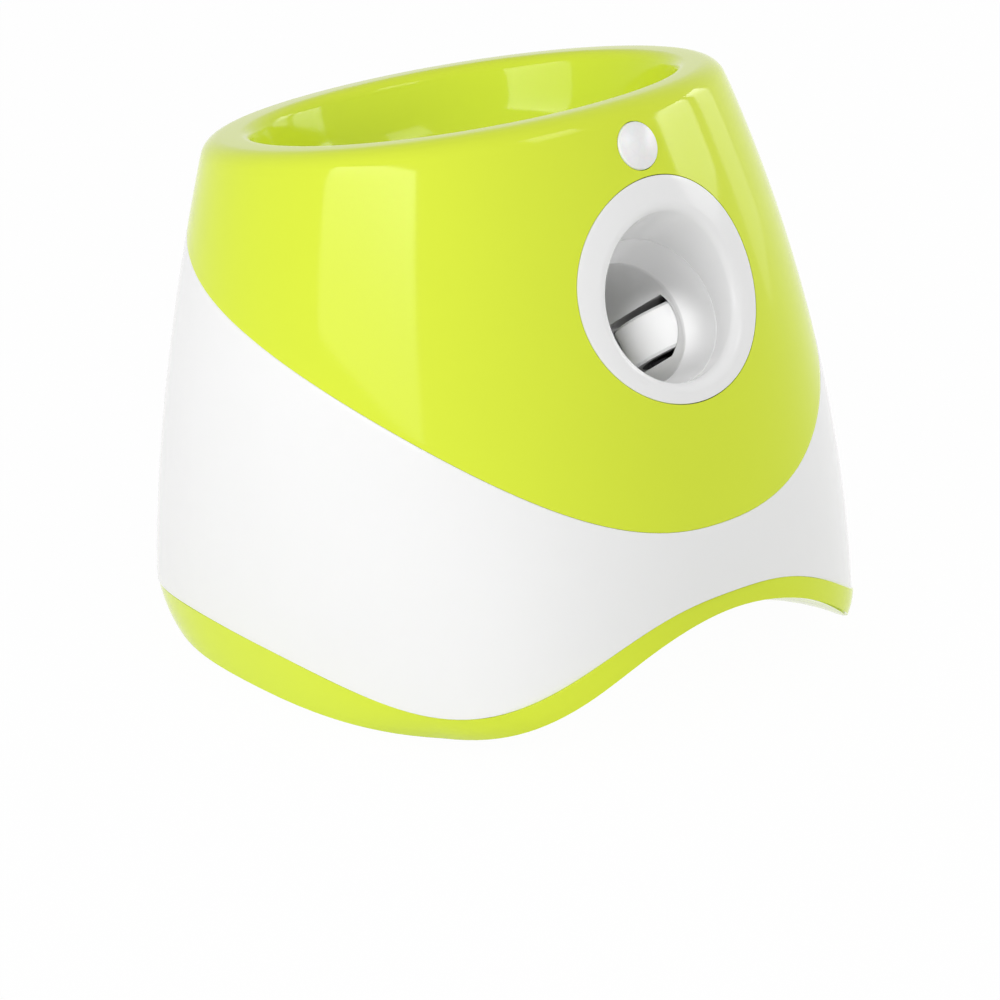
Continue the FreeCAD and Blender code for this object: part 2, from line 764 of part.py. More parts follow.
def barrel_screws():
    """Four screws between barrel and launch housing."""
    seat = barrel_length - barrel_flange
    return group([in_launch(screw((x, seat, u), (0, 1, 0), 4.6)) for x, u in barrel_screw_places])


def casing():
    """Outer form of the launch housing: ball tunnel, two wheel pockets, flange and lugs."""
    shapes = [tunnel(tunnel_r + tunnel_wall, tunnel_start, tunnel_end)]
    shapes.append(rod(barrel_flange_r, (0, tunnel_start, 0), (0, 1, 0), barrel_flange))
    pocket = rod(casing_r, (wheel_x, wheel_setback, deck_low), (0, 0, 1), roof_top - deck_low)
    shapes += both(pocket)
    for s in lug_places:
        shapes += both(rod(lug_r, (wheel_x, s, deck_low), (0, 0, 1), roof_top - deck_low))
    return one(shapes)


def casing_space():
    """What the launch housing leaves open."""
    shapes = [tunnel(tunnel_r, tunnel_start - 1, tunnel_end + 1)]
    shapes += both(rod(pocket_r, (wheel_x, wheel_setback, deck_top), (0, 0, 1), roof_low - deck_top))
    return one(shapes)


def launch_half(upper):
    """Upper or lower half of the launch housing, split on the barrel's axis."""
    side = 1 if upper else -1
    half = box(-150, -20, min(0, side * 60) + (part_gap / 2 if upper else 0),
               150, 140, max(0, side * 60) - (0 if upper else part_gap / 2))
    body = casing().cut(casing_space()).common(half)
    if upper:
        boss = rod(bush_r + 2.4, (wheel_x, wheel_setback, roof_low + 0.01), (0, 0, 1), bush_length + 1.4)
        body = one([body] + both(boss))
        for x in (-wheel_x, wheel_x):
            bush_seat = (x, wheel_setback, roof_low - 1)
            body = body.cut(rod(bush_r + seat_fit, bush_seat, (0, 0, 1), bush_length + 1))
            body = body.cut(rod(shaft_r + 1, (x, wheel_setback, roof_low), (0, 0, 1), 20))
    else:
        for x in (-wheel_x, wheel_x):
            body = body.cut(rod(6.0, (x, wheel_setback, deck_low - 1), (0, 0, 1), 20))
            for turn in (-1, 1):
                place = (x + turn * motor_screw_pitch / 2, wheel_setback, deck_low - 1)
                body = body.cut(rod(screw_r + screw_room, place, (0, 0, 1), 20))
                seat = (place[0], wheel_setback, deck_top - motor_head - part_gap)
                body = body.cut(rod(motor_head_r + 0.3, seat, (0, 0, 1), 5))
    for x in (-wheel_x, wheel_x):
        for s in lug_places:
            hole = screw_r + (screw_room if upper else 0)
            body = body.cut(rod(hole, (x, s, -16 if not upper else -1), (0, 0, 1), 40))
    for x, u in barrel_screw_places:
        body = body.cut(rod(screw_r, (x, tunnel_start - 1, u), (0, 1, 0), barrel_flange + 2))
    return in_launch(body).cut(behind_mitre(-part_gap / 2, tunnel_r + tunnel_wall + part_gap))


def wheel_shaft():
    """Steel shaft from the motor through the hub into the bush."""
    low = deck_low - motor_bore_depth
    high = roof_low + bush_length + 0.8
    return in_launch(rod(shaft_r, (wheel_x, wheel_setback, low + 0.5), (0, 0, 1), high - low - 0.5))


def wheel_hub():
    """Turned hub with a web and two rims."""
    inner_r = wheel_r - tyre_depth - seat_fit
    low, high = wheel_low + 1.0, wheel_high - 1.0
    bore = shaft_r + seat_fit
    profile = [(bore, low), (5.5, low), (5.5, low + 6), (inner_r - 3.5, low + 6), (inner_r - 3.5, low),
               (inner_r, low), (inner_r, high), (inner_r - 3.5, high), (inner_r - 3.5, low + 9),
               (5.5, low + 9), (5.5, high), (bore, high)]
    return in_launch(lathe(profile, (wheel_x, wheel_setback, 0)))


def wheel_tyre():
    """Soft tread with bevelled shoulders, slightly hollow to centre the ball."""
    inner_r = wheel_r - tyre_depth
    middle = (wheel_low + wheel_high) / 2
    bevel = 1.2
    profile = [(inner_r, wheel_low), (wheel_r - bevel, wheel_low), (wheel_r, wheel_low + bevel),
               (wheel_r - 0.5, middle - 4), (wheel_r - 0.5, middle + 4), (wheel_r, wheel_high - bevel),
               (wheel_r - bevel, wheel_high), (inner_r, wheel_high)]
    return in_launch(lathe(profile, (wheel_x, wheel_setback, 0)))


def launch_motor():
    """Can motor under the deck, with its bearing boss, end cap and two terminals."""
    top = deck_low - part_gap
    can = lathe([(0, -motor_length), (motor_r - 2, -motor_length), (motor_r, -motor_length + 2),
                 (motor_r, -1.5), (motor_r - 1.5, 0), (0, 0)], (wheel_x, wheel_setback, top))
    boss = rod(5.0, (wheel_x, wheel_setback, top - 0.5), (0, 0, 1), 2.2)
    cap = rod(motor_r * 0.7, (wheel_x, wheel_setback, top - motor_length - 2.4), (0, 0, 1), 3)
    tags = [box(wheel_x + a - 1.4, wheel_setback - 0.4, top - motor_length - 6.5,
                wheel_x + a + 1.4, wheel_setback + 0.4, top - motor_length - 1) for a in (-9, 9)]
    motor = one([can, boss, cap] + tags)
    bore_end = (wheel_x, wheel_setback, top - motor_bore_depth)
    motor = motor.cut(rod(shaft_r + running_fit, bore_end, (0, 0, 1), 20))
    for turn in (-1, 1):
        place = (wheel_x + turn * motor_screw_pitch / 2, wheel_setback, top - 6)
        motor = motor.cut(rod(screw_r + seat_fit, place, (0, 0, 1), 10))
    return in_launch(motor)


def shaft_bushes():
    """Two bushes in the roof of the launch housing."""
    ring = pipe(bush_r, shaft_r + running_fit, (wheel_x, wheel_setback, roof_low), (0, 0, 1), bush_length)
    return group([in_launch(s) for s in both(ring)])


def motor_screws():
    """Four screws that hold the motors under the deck."""
    screws = []
    for x in (-wheel_x, wheel_x):
        for turn in (-1, 1):
            seat = (x + turn * motor_screw_pitch / 2, wheel_setback, deck_top - motor_head - part_gap)
            screws.append(in_launch(screw(seat, (0, 0, -1), 5.2, screw_r, motor_head_r, motor_head)))
    return group(screws)


def housing_screws():
    """Four long screws that close the launch housing."""
    screws = []
    for x in (-wheel_x, wheel_x):
        for s in lug_places:
            screws.append(in_launch(screw((x, s, roof_top), (0, 0, -1), 24)))
    return group(screws)


# ================================================================ feed channel and gate
drain_reach = (drain_y - rest_y) / math.cos(math.radians(feed_slope))
gate_reach = drain_reach - ball_d / 2
gate_y = rest_y + gate_reach * math.cos(math.radians(feed_slope)) - finger_width / 2
finger_z = rest_z + gate_reach * math.sin(math.radians(feed_slope))
shelf_top = finger_z - finger_height / 2 - 4.0
gear_centres = gear_module * (sector_teeth + pinion_teeth) / 2
sector_low = finger_z + finger_height / 2 + 1.0
pinion_x = gate_x + gear_centres
switch_y = drain_y - 8.0
switch_pin_x = -33.0
switch_lever_z = rest_z + (switch_y - rest_y) * math.tan(math.radians(feed_slope))
switch_swing = 10.0


ear_reach = 10.0                # screw ears of the channel beyond its bore
ear_screw = 6.0
ear_half = 4.5
ear_height = 3.5
channel_reach = 50.0            # channel blanks start this far ahead, then the mitre trims them
# the right front ear stands behind the gate's finger, clear of its swing
channel_screw_places = [(-tunnel_r - ear_screw, drain_reach - 40), (-tunnel_r - ear_screw, drain_reach + 22),
                        (tunnel_r + ear_screw, drain_reach - 17), (tunnel_r + ear_screw, drain_reach + 22)]


def channel_space():
    """Bore of the channel, closed at the rear."""
    return in_feed(rod(tunnel_r, (0, -channel_reach, 0), (0, 1, 0), feed_end + channel_reach - tunnel_wall))


def channel_ears(low, high, hole):
    """Screw ears on both sides of the channel, between two heights over the split."""
    ears = []
    for x, t in channel_screw_places:
        inner_x = math.copysign(tunnel_r - 1, x)
        outer_x = math.copysign(tunnel_r + ear_reach, x)
        ear = slab(min(inner_x, outer_x), t - ear_half, low, max(inner_x, outer_x), t + ear_half, high, 3.0)
        ears.append(ear.cut(rod(hole, (x, t, low - 1), (0, 0, 1), high - low + 2)))
    return ears


def channel_half(upper):
    """Upper or lower half of the feed channel."""
    side = 1 if upper else -1
    body = rod(tunnel_r + tunnel_wall, (0, -channel_reach, 0), (0, 1, 0), feed_end + channel_reach)
    half = box(-60, -channel_reach, 0, 60, 200, 60)
    half.translate(V(0, 0, part_gap / 2 if upper else -60 - part_gap / 2))
    low, high = sorted((side * part_gap / 2, side * ear_height))
    ears = channel_ears(low, high, screw_r + screw_room if upper else screw_r)
    part = in_feed(one([body.common(half)] + ears)).cut(channel_space())
    part = part.common(behind_mitre(part_gap / 2))
    for pocket in both(rod(pocket_r, (wheel_x, wheel_setback, deck_top), (0, 0, 1), roof_low - deck_top)):
        part = part.cut(in_launch(pocket))
    sweep = box(20, gate_y - finger_length - 4, finger_z - finger_height / 2 - 1.2, 45,
                gate_y + finger_width / 2 + 2, finger_z + finger_height / 2 + 1.2)
    slot = box(-36, switch_y - 4, switch_lever_z - 3.2, -20, switch_y + 22, switch_lever_z + 3.2)
    if upper:
        return one([part, drain_collar()]).cut(drain_drop()).cut(sweep).cut(slot)
    return lower_shelves(part).cut(sweep).cut(slot)


def drain_collar():
    """Collar on the channel that stands round the drain, up to just under the bowl's throat."""
    low = rest_z + 12
    ring = pipe(drain_r + tunnel_wall, drain_r, (0, drain_y, low), (0, 0, 1), throat_height - shell_gap - low)
    upper_side = in_feed(box(-60, -channel_reach, part_gap / 2, 60, 200, 90))
    return ring.cut(channel_space()).common(upper_side)


def drain_drop():
    """Opening from the drain into the channel, and everything above the collar's top."""
    drop = rod(drain_r, (0, drain_y, rest_z + 8), (0, 0, 1), 60)
    return drop.fuse(half_space_above(throat_height - shell_gap))


def lower_shelves(part):
    """Shelves for gate and switch on the channel's lower half, with their holes."""
    shelf = slab(tunnel_r - 3, gate_y - 16, shelf_top - shelf_wall,
                 pinion_x + 14, gate_y + 16, shelf_top, 6.0)
    switch_shelf = slab(-48, switch_y - 8, switch_lever_z - 8.0, -tunnel_r + 3, switch_y + 24,
                        switch_lever_z - 5.4, 2.0)
    part = one([part, shelf.cut(channel_space()), switch_shelf.cut(channel_space())])
    part = part.cut(rod(gate_pin_r + seat_fit, (gate_x, gate_y, shelf_top - 20), (0, 0, 1), 40))
    for y in (-gearmotor_screw_y, gearmotor_screw_y):
        part = part.cut(rod(screw_r + screw_room, (pinion_x, gate_y + y, shelf_top - 20), (0, 0, 1), 40))
    return part.cut(rod(4.2, (pinion_x, gate_y, shelf_top - 20), (0, 0, 1), 40))


def gear_outline(teeth, first, last, turn):
    """Involute tooth points from the first to the last tooth; turn shifts all of them."""
    pitch_r = gear_module * teeth / 2
    base_r = pitch_r * math.cos(math.radians(pressure_angle))
    tip_r = pitch_r + 0.8 * gear_module
    root_r = pitch_r - 1.1 * gear_module

    def involute(radius):
        """Involute angle at a radius."""
        bend = math.acos(min(1.0, base_r / radius))
        return math.tan(bend) - bend
    half_tooth = math.pi / (2 * teeth) - gear_backlash / (4 * pitch_r) + involute(pitch_r)
    flank = [max(root_r, base_r) + (tip_r - max(root_r, base_r)) * k / 3 for k in range(4)]
    points = []
    for tooth in range(first, last):
        middle = turn + 2 * math.pi * tooth / teeth
        rising = [(root_r, -half_tooth - 0.004)] + [(r, -half_tooth + involute(r)) for r in flank]
        falling = [(r, -a) for r, a in reversed(rising)]
        for r, a in rising + falling:
            points.append(V(r * math.cos(middle + a), r * math.sin(middle + a), 0))
    return points


def gate_lever():
    """Gate finger, hub and toothed sector in one moulding on the gate's pin."""
    low, high = finger_z - finger_height / 2, finger_z + finger_height / 2
    tip_x = gate_x - finger_length + finger_width / 2
    finger = box(tip_x, gate_y - finger_width / 2, low, gate_x, gate_y + finger_width / 2, high)
    tip = rod(finger_width / 2, (tip_x, gate_y, low), (0, 0, 1), finger_height)
    hub = rod(gate_hub_r, (gate_x, gate_y, shelf_top + 0.3), (0, 0, 1), sector_low + gear_width - shelf_top)
    tooth_angle = 2 * math.pi / sector_teeth
    swing = math.radians(gate_open_angle)
    last = 3
    first = -int(swing / tooth_angle) - 3
    teeth = gear_outline(sector_teeth, first, last, tooth_angle / 2)
    fan = Part.makePolygon([V(0, 0, 0)] + teeth + [V(0, 0, 0)])
    sector = Part.Face(fan).extrude(V(0, 0, gear_width))
    sector.translate(V(gate_x, gate_y, sector_low))
    lever = one([finger, tip, hub, sector])
    return lever.cut(rod(gate_pin_r + running_fit, (gate_x, gate_y, 0), (0, 0, 1), 300))


def gate_pin():
    """Fixed steel pin that carries the gate, with a head over the hub."""
    top = sector_low + gear_width + 0.7
    foot = shelf_top - shelf_wall
    shank = rod(gate_pin_r, (gate_x, gate_y, foot), (0, 0, 1), top - foot)
    head = rod(gate_pin_r + 2.0, (gate_x, gate_y, top - 0.01), (0, 0, 1), 1.5)
    return one([shank, head])


def gate_pinion():
    """Pinion on the gearmotor's shaft, in mesh with the gate's sector."""
    teeth = gear_outline(pinion_teeth, 0, pinion_teeth, math.pi)
    blank = Part.Face(Part.makePolygon(teeth + teeth[:1])).extrude(V(0, 0, gear_width + 0.8))
    blank.translate(V(pinion_x, gate_y, sector_low - 0.4))
    collar = rod(4.0, (pinion_x, gate_y, shelf_top + 1.0), (0, 0, 1), sector_low - shelf_top - 1.0)
    gear = one([blank, collar])
    return gear.cut(rod(gear_shaft_r + seat_fit, (pinion_x, gate_y, 0), (0, 0, 1), 300))


def gate_output_shaft():
    """Output shaft of the gearmotor."""
    low = shelf_top - shelf_wall - 5.0
    return rod(gear_shaft_r, (pinion_x, gate_y, low), (0, 0, 1), sector_low + gear_width + 1 - low)


def gate_gearmotor():
    """Gearbox and motor can that hang under the gate's shelf."""
    top = shelf_top - shelf_wall - part_gap
    gearbox = slab(pinion_x - 11, gate_y - 11, top - 12, pinion_x + 11, gate_y + 11, top, 3.0)
    can = rod(gearmotor_r, (pinion_x, gate_y, top - gearmotor_length), (0, 0, 1), gearmotor_length - 11)
    boss = rod(4.0, (pinion_x, gate_y, top - 0.5), (0, 0, 1), 2.4)
    body = one([gearbox, can, boss])
    for y in (-gearmotor_screw_y, gearmotor_screw_y):
        body = body.cut(rod(screw_r + seat_fit, (pinion_x, gate_y + y, top - 6), (0, 0, 1), 10))
    return body.cut(rod(gear_shaft_r + running_fit, (pinion_x, gate_y, top - 6), (0, 0, 1), 20))


def gearmotor_screws():
    """Two screws that hold the gearmotor under its shelf."""
    return group([screw((pinion_x, gate_y + y, shelf_top), (0, 0, -1), 8.0)
                  for y in (-gearmotor_screw_y, gearmotor_screw_y)])


def ball_switch():
    """Small switch beside the waiting ball."""
    low = switch_lever_z - 5.3
    body = box(-45.0, switch_y - 2, low, -38.0, switch_y + 18, low + 10.4)
    fork = [box(-38.01, switch_y - 2, z, switch_pin_x + 1.2, switch_y + 2, z + 1.6)
            for z in (low, low + 8.8)]
    pin = rod(0.8, (switch_pin_x, switch_y, low + 0.5), (0, 0, 1), 9.5)
    return one([body, pin] + fork)


def ball_switch_lever():
    """Feeler that the waiting ball pushes outwards."""
    z = switch_lever_z - 2
    eye = rod(1.9, (switch_pin_x, switch_y, z), (0, 0, 1), 4)
    arm = box(switch_pin_x - 0.6, switch_y, z, switch_pin_x + 0.6, switch_y + 18, z + 4)
    arm.rotate(V(switch_pin_x, switch_y, 0), V(0, 0, 1), -22)
    angle = math.radians(-22)
    end = (switch_pin_x - 18 * math.sin(angle), switch_y + 18 * math.cos(angle), z)
    lever = one([eye, arm, rod(1.4, end, (0, 0, 1), 4)])
    return lever.cut(rod(0.8 + running_fit, (switch_pin_x, switch_y, z - 1), (0, 0, 1), 6))


def channel_screws():
    """Four screws that close the feed channel."""
    return group([in_feed(screw((x, t, ear_height), (0, 0, -1), 6.8)) for x, t in channel_screw_places])


# ================================================================ frame, power and controls
board_posts = [(x, y) for x in (board_x + 4.5, board_x + board_width - 4.5)
               for y in (board_low_y + 4.5, board_low_y + board_length - 4.5)]


def support_frame():
    """Bridge over the battery box with two ribs that cradle barrel and channel."""
    top = frame_height + frame_wall
    plate = slab(-66, -88, frame_height, 66, 80, top, 8.0)
    plate = plate.cut(slab(25, -64, frame_height - 1, 44, 56, top + 1, 4.0))
    plate = plate.cut(slab(-14, -64, frame_height - 1, 14, 62, top + 1, 4.0))
    y0, z0 = launch_place(tunnel_start + 6, -14)
    y1, z1 = launch_place(rest_setback, -14)
    far = rest_y + feed_end - 8
    z2 = rest_z - 14 + (far - rest_y) * math.tan(math.radians(feed_slope))
    outline = [(y0, frame_height + 0.5), (y0, z0), (y1, z1), (far, z2), (far, frame_height + 0.5)]
    ribs = []
    for x in (-18.5, 18.5):
        face = Part.Face(Part.makePolygon([V(x - 1.5, y, z) for y, z in outline + outline[:1]]))
        ribs.append(face.extrude(V(3, 0, 0)))
    webs = [box(-18.5, y, frame_height + 0.5, 18.5, y + 3, rest_z - tunnel_r - 4) for y in (-44, 30, 56)]
    posts = [rod(3.2, (x, y, top - 0.5), (0, 0, 1), board_rise + 0.5 - part_gap) for x, y in board_posts]
    frame = one([plate] + ribs + webs + posts)
    clear = part_gap
    frame = frame.cut(in_launch(rod(tunnel_r + tunnel_wall + clear, (0, 10, 0), (0, 1, 0), 90)))
    frame = frame.cut(in_feed(rod(tunnel_r + tunnel_wall + clear, (0, -20, 0), (0, 1, 0), 140)))
    for x, y in frame_posts:
        frame = frame.cut(rod(screw_r + 0.3, (x, y, frame_height - 1), (0, 0, 1), 10))
    for x, y in board_posts:
        frame = frame.cut(rod(screw_r, (x, y, frame_height - 1), (0, 0, 1), 12))
    return frame


def frame_screws():
    """Four screws between support frame and base."""
    top = frame_height + frame_wall
    return group([screw((x, y, top), (0, 0, -1), 14) for x, y in frame_posts])


def shell_screws():
    """Four screws that join the base to the middle shell from below."""
    seat = base_post_top - 6
    return group([screw((x, y, seat), (0, 0, 1), 24) for x, y in shell_posts])


def battery_box():
    """Open-bottomed bay for six cells with ribs between the rows."""
    low = belly_height + belly_wall + part_gap
    body = slab(-box_half_x, box_y - box_half_y, low, box_half_x, box_y + box_half_y, box_top, 3.0)
    rim_x, rim_y = box_half_x + 4, box_half_y + 4
    flange = slab(-rim_x, box_y - rim_y, low, rim_x, box_y + rim_y, low + 2, 5.0)
    ears = [rod(ear_r, (x, y, low), (0, 0, 1), 2) for x, y in ear_places]
    body = one([body, flange] + ears)
    for x, y in ear_places:
        body = body.cut(rod(screw_r + screw_room, (x, y, low - 1), (0, 0, 1), 5))
    body = body.cut(box(-box_half_x + box_wall, box_y - box_half_y + box_wall, low - 1,
                        box_half_x - box_wall, box_y + box_half_y - box_wall, box_top - box_wall))
    ribs = []
    for x in (-cell_pitch / 2, cell_pitch / 2):
        rib = box(x - 0.5, box_y - box_half_y + 1, cell_z + cell_r * 0.75,
                  x + 0.5, box_y + box_half_y - 1, box_top - 1)
        for row in (-1, 0, 1):
            rib = rib.cut(rod(cell_r + 0.3, (row * cell_pitch, box_y - 80, cell_z), (0, 1, 0), 160))
        ribs.append(rib)
    return one([body] + ribs)


cell_z = belly_height + belly_wall + 3.0 + cell_r
row_start = box_y - box_half_y + box_wall + 1.0
rows = [-cell_pitch, 0.0, cell_pitch]


def battery_box_screws():
    """Four screws through the ears of the battery box."""
    seat = belly_height + belly_wall + part_gap + 2
    return group([screw((x, y, seat), (0, 0, -1), 6.0) for x, y in ear_places])


def battery_cells():
    """Six cells in three rows of two."""
    cells = []
    for x in rows:
        for k in range(2):
            y = row_start + 0.4 + k * (cell_length + 0.2)
            profile = [(0, 0), (cell_r - 1, 0), (cell_r, 1), (cell_r, cell_length - 3),
                       (cell_r - 1, cell_length - 2), (3, cell_length - 2), (3, cell_length), (0, cell_length)]
            body = lathe(profile, (x, y, cell_z), (0, 1, 0))
            cells.append(body)
    return group(cells)


def battery_springs():
    """Conical contact springs at the rear end of each row."""
    springs = []
    end = box_y + box_half_y - box_wall - 1.0
    turns = 3
    length = end - (row_start + 0.4 + 2 * cell_length + 0.2) - 0.2
    step = length / turns
    for x in rows:
        rings = []
        for k in range(turns):
            outer_r = 7.5 - 1.3 * k
            overlap = 0.3 if k < turns - 1 else 0
            start = (x, end - step * (k + 1) - overlap, cell_z)
            rings.append(pipe(outer_r, outer_r - 2.0, start, (0, 1, 0), step + overlap))
        springs.append(one(rings))
    return group(springs)


def battery_contacts():
    """Contact plates at both ends of the rows."""
    plates = []
    for x in rows:
        plates.append(box(x - 8, row_start - 0.9, cell_z - 8, x + 8, row_start - 0.1 + 0.3, cell_z + 8))
        end = box_y + box_half_y - box_wall
        plates.append(box(x - 9, end - 0.9, cell_z - 9, x + 9, end - 0.1, cell_z + 9))
    return group(plates)


def rubber_feet():
    """Four soft feet with their stems."""
    feet = []
    for x, y in foot_places:
        seat, top = belly_height - part_gap, belly_height + foot_stem - 1.5
        profile = [(0, 0), (foot_r - 1, 0), (foot_r, 1), (foot_r, seat), (foot_stem_r, seat), (foot_stem_r, top),
                   (0, top)]
        feet.append(lathe(profile, (x, y, 0)))
    return group(feet)


board_y = panel_y - 17.0
button_face = panel_y + 1.4
button_flange = panel_y - 5.8


def rear_control_panel():
    """Oval panel that follows the body, with its lap flange and two board posts."""
    plate = outer.common(oval(panel_half, panel_r, panel_y - 14, 30)).cut(hull(shell_wall + 0.3))
    lap = lap_outer.common(oval(panel_half + 4, panel_r + 4, panel_y - 16, 30)).cut(lap_inner)
    lap = lap.cut(oval(panel_half - 3, panel_r - 3, panel_y - 20, 40))
    posts = [rod(3.0, (x, board_y + board_wall + part_gap, panel_z), (0, 1, 0), 10.5)
             for x in (-panel_post_x, panel_post_x)]
    panel = plate.fuse(lap).multiFuse(posts)
    for x in (-button_x, button_x):
        panel = panel.cut(rod(button_r + button_gap, (x, panel_y - 30, panel_z), (0, 1, 0), 60))
    for x in (-panel_post_x, panel_post_x):
        panel = panel.cut(rod(screw_r, (x, board_y, panel_z), (0, 1, 0), 8))
    for z in led_heights:
        panel = panel.cut(rod(1.6 + seat_fit, (0, panel_y - 30, z), (0, 1, 0), 60))
    return panel


led_heights = [panel_z - 7.0, panel_z, panel_z + 7.0]


def push_button(x, glyph):
    """Round key with a flange behind the panel and a raised generic mark on its face."""
    profile = [(0, button_flange - 3.0), (3.0, button_flange - 3.0), (3.0, button_flange - 1.2),
               (button_r + 1.6, button_flange - 1.2), (button_r + 1.6, button_flange),
               (button_r, button_flange), (button_r, button_face - 1.0), (button_r - 1.0, button_face),
               (0, button_face)]
    key = lathe(profile, (x, 0, panel_z), (0, 1, 0))
    return one([key, glyph])


def power_button():
    """On and off key with a raised ring and bar."""
    mark = pipe(3.4, 2.6, (-button_x, button_face - 0.2, panel_z), (0, 1, 0), 0.5)
    mark = mark.cut(box(-button_x - 1.0, 0, panel_z + 1, -button_x + 1.0, 300, panel_z + 5))
    bar = box(-button_x - 0.4, button_face - 0.2, panel_z + 0.4,
              -button_x + 0.4, button_face + 0.3, panel_z + 4)
    return push_button(-button_x, group([mark, bar]))


def range_button():
    """Distance key with a raised ring."""
    mark = pipe(3.2, 2.2, (button_x, button_face - 0.2, panel_z), (0, 1, 0), 0.5)
    return push_button(button_x, mark)


def indicator_windows():
    """Three small light pipes between the keys."""
    face = outer.common(one([rod(1.6, (0, panel_y - 9, z), (0, 1, 0), 20) for z in led_heights]))
    return face


def control_circuit_board():
    """Board behind the rear panel."""
    half = panel_post_x + 4.0
    board = box(-half, board_y, panel_z - 11, half, board_y + board_wall, panel_z + 11)
    for x in (-panel_post_x, panel_post_x):
        board = board.cut(rod(screw_r + screw_room, (x, board_y - 1, panel_z), (0, 1, 0), 5))
    return board


def tact_switches():
    """A switch behind each key."""
    switches = []
    front = board_y + board_wall + part_gap
    tip = button_flange - 3.0 - button_travel - 0.3
    for x in (-button_x, button_x):
        body = box(x - 3, front, panel_z - 3, x + 3, front + 3.5, panel_z + 3)
        plunger = rod(1.7, (x, front + 3.4, panel_z), (0, 1, 0), tip - front - 3.4)
        switches.append(one([body, plunger]))
    return group(switches)


def panel_screws():
    """Two screws that hold the control board to the panel."""
    return group([screw((x, board_y, panel_z), (0, 1, 0), 7.5)
                  for x in (-panel_post_x, panel_post_x)])


def dc_socket():
    """Power inlet behind the rear wall, with its bore and centre pin."""
    inner_face = rear_skin(socket_x + 7.5, socket_z) - shell_wall - 1.0
    body = box(socket_x - 7, inner_face - 13, socket_z - 7, socket_x + 7, inner_face, socket_z + 7)
    nose = rod(socket_r, (socket_x, inner_face - 1, socket_z), (0, 1, 0), socket_y - inner_face - 0.4)
    bore = rod(socket_bore_r, (socket_x, inner_face - 8, socket_z), (0, 1, 0), 30)
    pin = rod(1.0, (socket_x, inner_face - 9, socket_z), (0, 1, 0), socket_y - inner_face + 6)
    return one([one([body, nose]).cut(bore), pin])


def main_circuit_board():
    """Driver board on four posts of the support frame."""
    low = frame_height + frame_wall + board_rise
    far_x, far_y = board_x + board_width, board_low_y + board_length
    board = slab(board_x, board_low_y, low, far_x, far_y, low + board_wall, 2.0)
    for x, y in board_posts:
        board = board.cut(rod(screw_r + screw_room, (x, y, low - 1), (0, 0, 1), 5))
    return board


def board_screws():
    """Four screws of the driver board."""
    seat = frame_height + frame_wall + board_rise + board_wall
    return group([screw((x, y, seat), (0, 0, -1), 8.0) for x, y in board_posts])


def board_components():
    """Capacitors, power transistors, plug headers, beeper and controller on the driver board."""
    seat = frame_height + frame_wall + board_rise + board_wall + 0.05
    middle = board_x + board_width / 2
    parts = [rod(4.0, (middle - 6, board_low_y + 16 + 10 * k, seat), (0, 0, 1), 11) for k in range(2)]
    parts += [box(middle + 4, board_low_y + 13 + 12 * k, seat,
                  middle + 14, board_low_y + 17.6 + 12 * k, seat + 9) for k in range(3)]
    parts += [box(middle - 5, board_low_y + 46, seat, middle + 5, board_low_y + 56, seat + 1.4)]
    parts += [box(middle - 11 + 9 * k, board_low_y + 66, seat, middle - 4 + 9 * k, board_low_y + 72, seat + 7)
              for k in range(3)]
    parts.append(pipe(5.0, 1.0, (middle - 8, board_low_y + 40, seat), (0, 0, 1), 6.0))
    return group(parts)


def main():
    """Write every sub-part."""
    export(upper_shell(), "upper_shell")
    export(middle_shell(), "middle_shell")
    export(base_tray(), "base_tray")
    export(battery_door(), "battery_door")
    export(nozzle_bezel(), "nozzle_bezel")
    export(sensor_lens(), "sensor_lens")
    export(pir_sensor(), "pir_sensor")
    export(sensor_circuit_board(), "sensor_circuit_board")
    export(sensor_screws(), "sensor_screws")
    export(launch_barrel(), "launch_barrel")
    export(barrel_screws(), "barrel_screws")
    export(launch_half(True), "launch_housing_upper")
    export(launch_half(False), "launch_housing_lower")
    export(wheel_shaft(), "right_wheel_shaft")
    export(wheel_hub(), "right_wheel_hub")
    export(wheel_tyre(), "right_wheel_tyre")
    export(launch_motor(), "right_launch_motor")
    export(mirrored(wheel_shaft()), "left_wheel_shaft")
    export(mirrored(wheel_hub()), "left_wheel_hub")
    export(mirrored(wheel_tyre()), "left_wheel_tyre")
    export(mirrored(launch_motor()), "left_launch_motor")
    export(shaft_bushes(), "shaft_bushes")
    export(motor_screws(), "motor_screws")
    export(housing_screws(), "housing_screws")
    export(channel_half(True), "feed_channel_upper")
    export(channel_half(False), "feed_channel_lower")
    export(channel_screws(), "channel_screws")
    export(gate_lever(), "gate_lever")
    export(gate_pin(), "gate_pin")
    export(gate_pinion(), "gate_pinion")
    export(gate_output_shaft(), "gate_output_shaft")
    export(gate_gearmotor(), "gate_gearmotor")
    export(gearmotor_screws(), "gearmotor_screws")
    export(ball_switch(), "ball_switch")
    export(ball_switch_lever(), "ball_switch_lever")
    export(support_frame(), "support_frame")
    export(frame_screws(), "frame_screws")
    export(shell_screws(), "shell_screws")
    export(battery_box(), "battery_box")
    export(battery_box_screws(), "battery_box_screws")
    export(battery_cells(), "battery_cells")
    export(battery_springs(), "battery_springs")
    export(battery_contacts(), "battery_contacts")
    export(rubber_feet(), "rubber_feet")
    export(rear_control_panel(), "rear_control_panel")
    export(power_button(), "power_button")
    export(range_button(), "range_button")
    export(indicator_windows(), "indicator_windows")
    export(control_circuit_board(), "control_circuit_board")
    export(tact_switches(), "tact_switches")
    export(panel_screws(), "panel_screws")
    export(dc_socket(), "dc_socket")
    export(main_circuit_board(), "main_circuit_board")
    export(board_screws(), "board_screws")
    export(board_components(), "board_components")


if __name__ == "__main__":
    main()
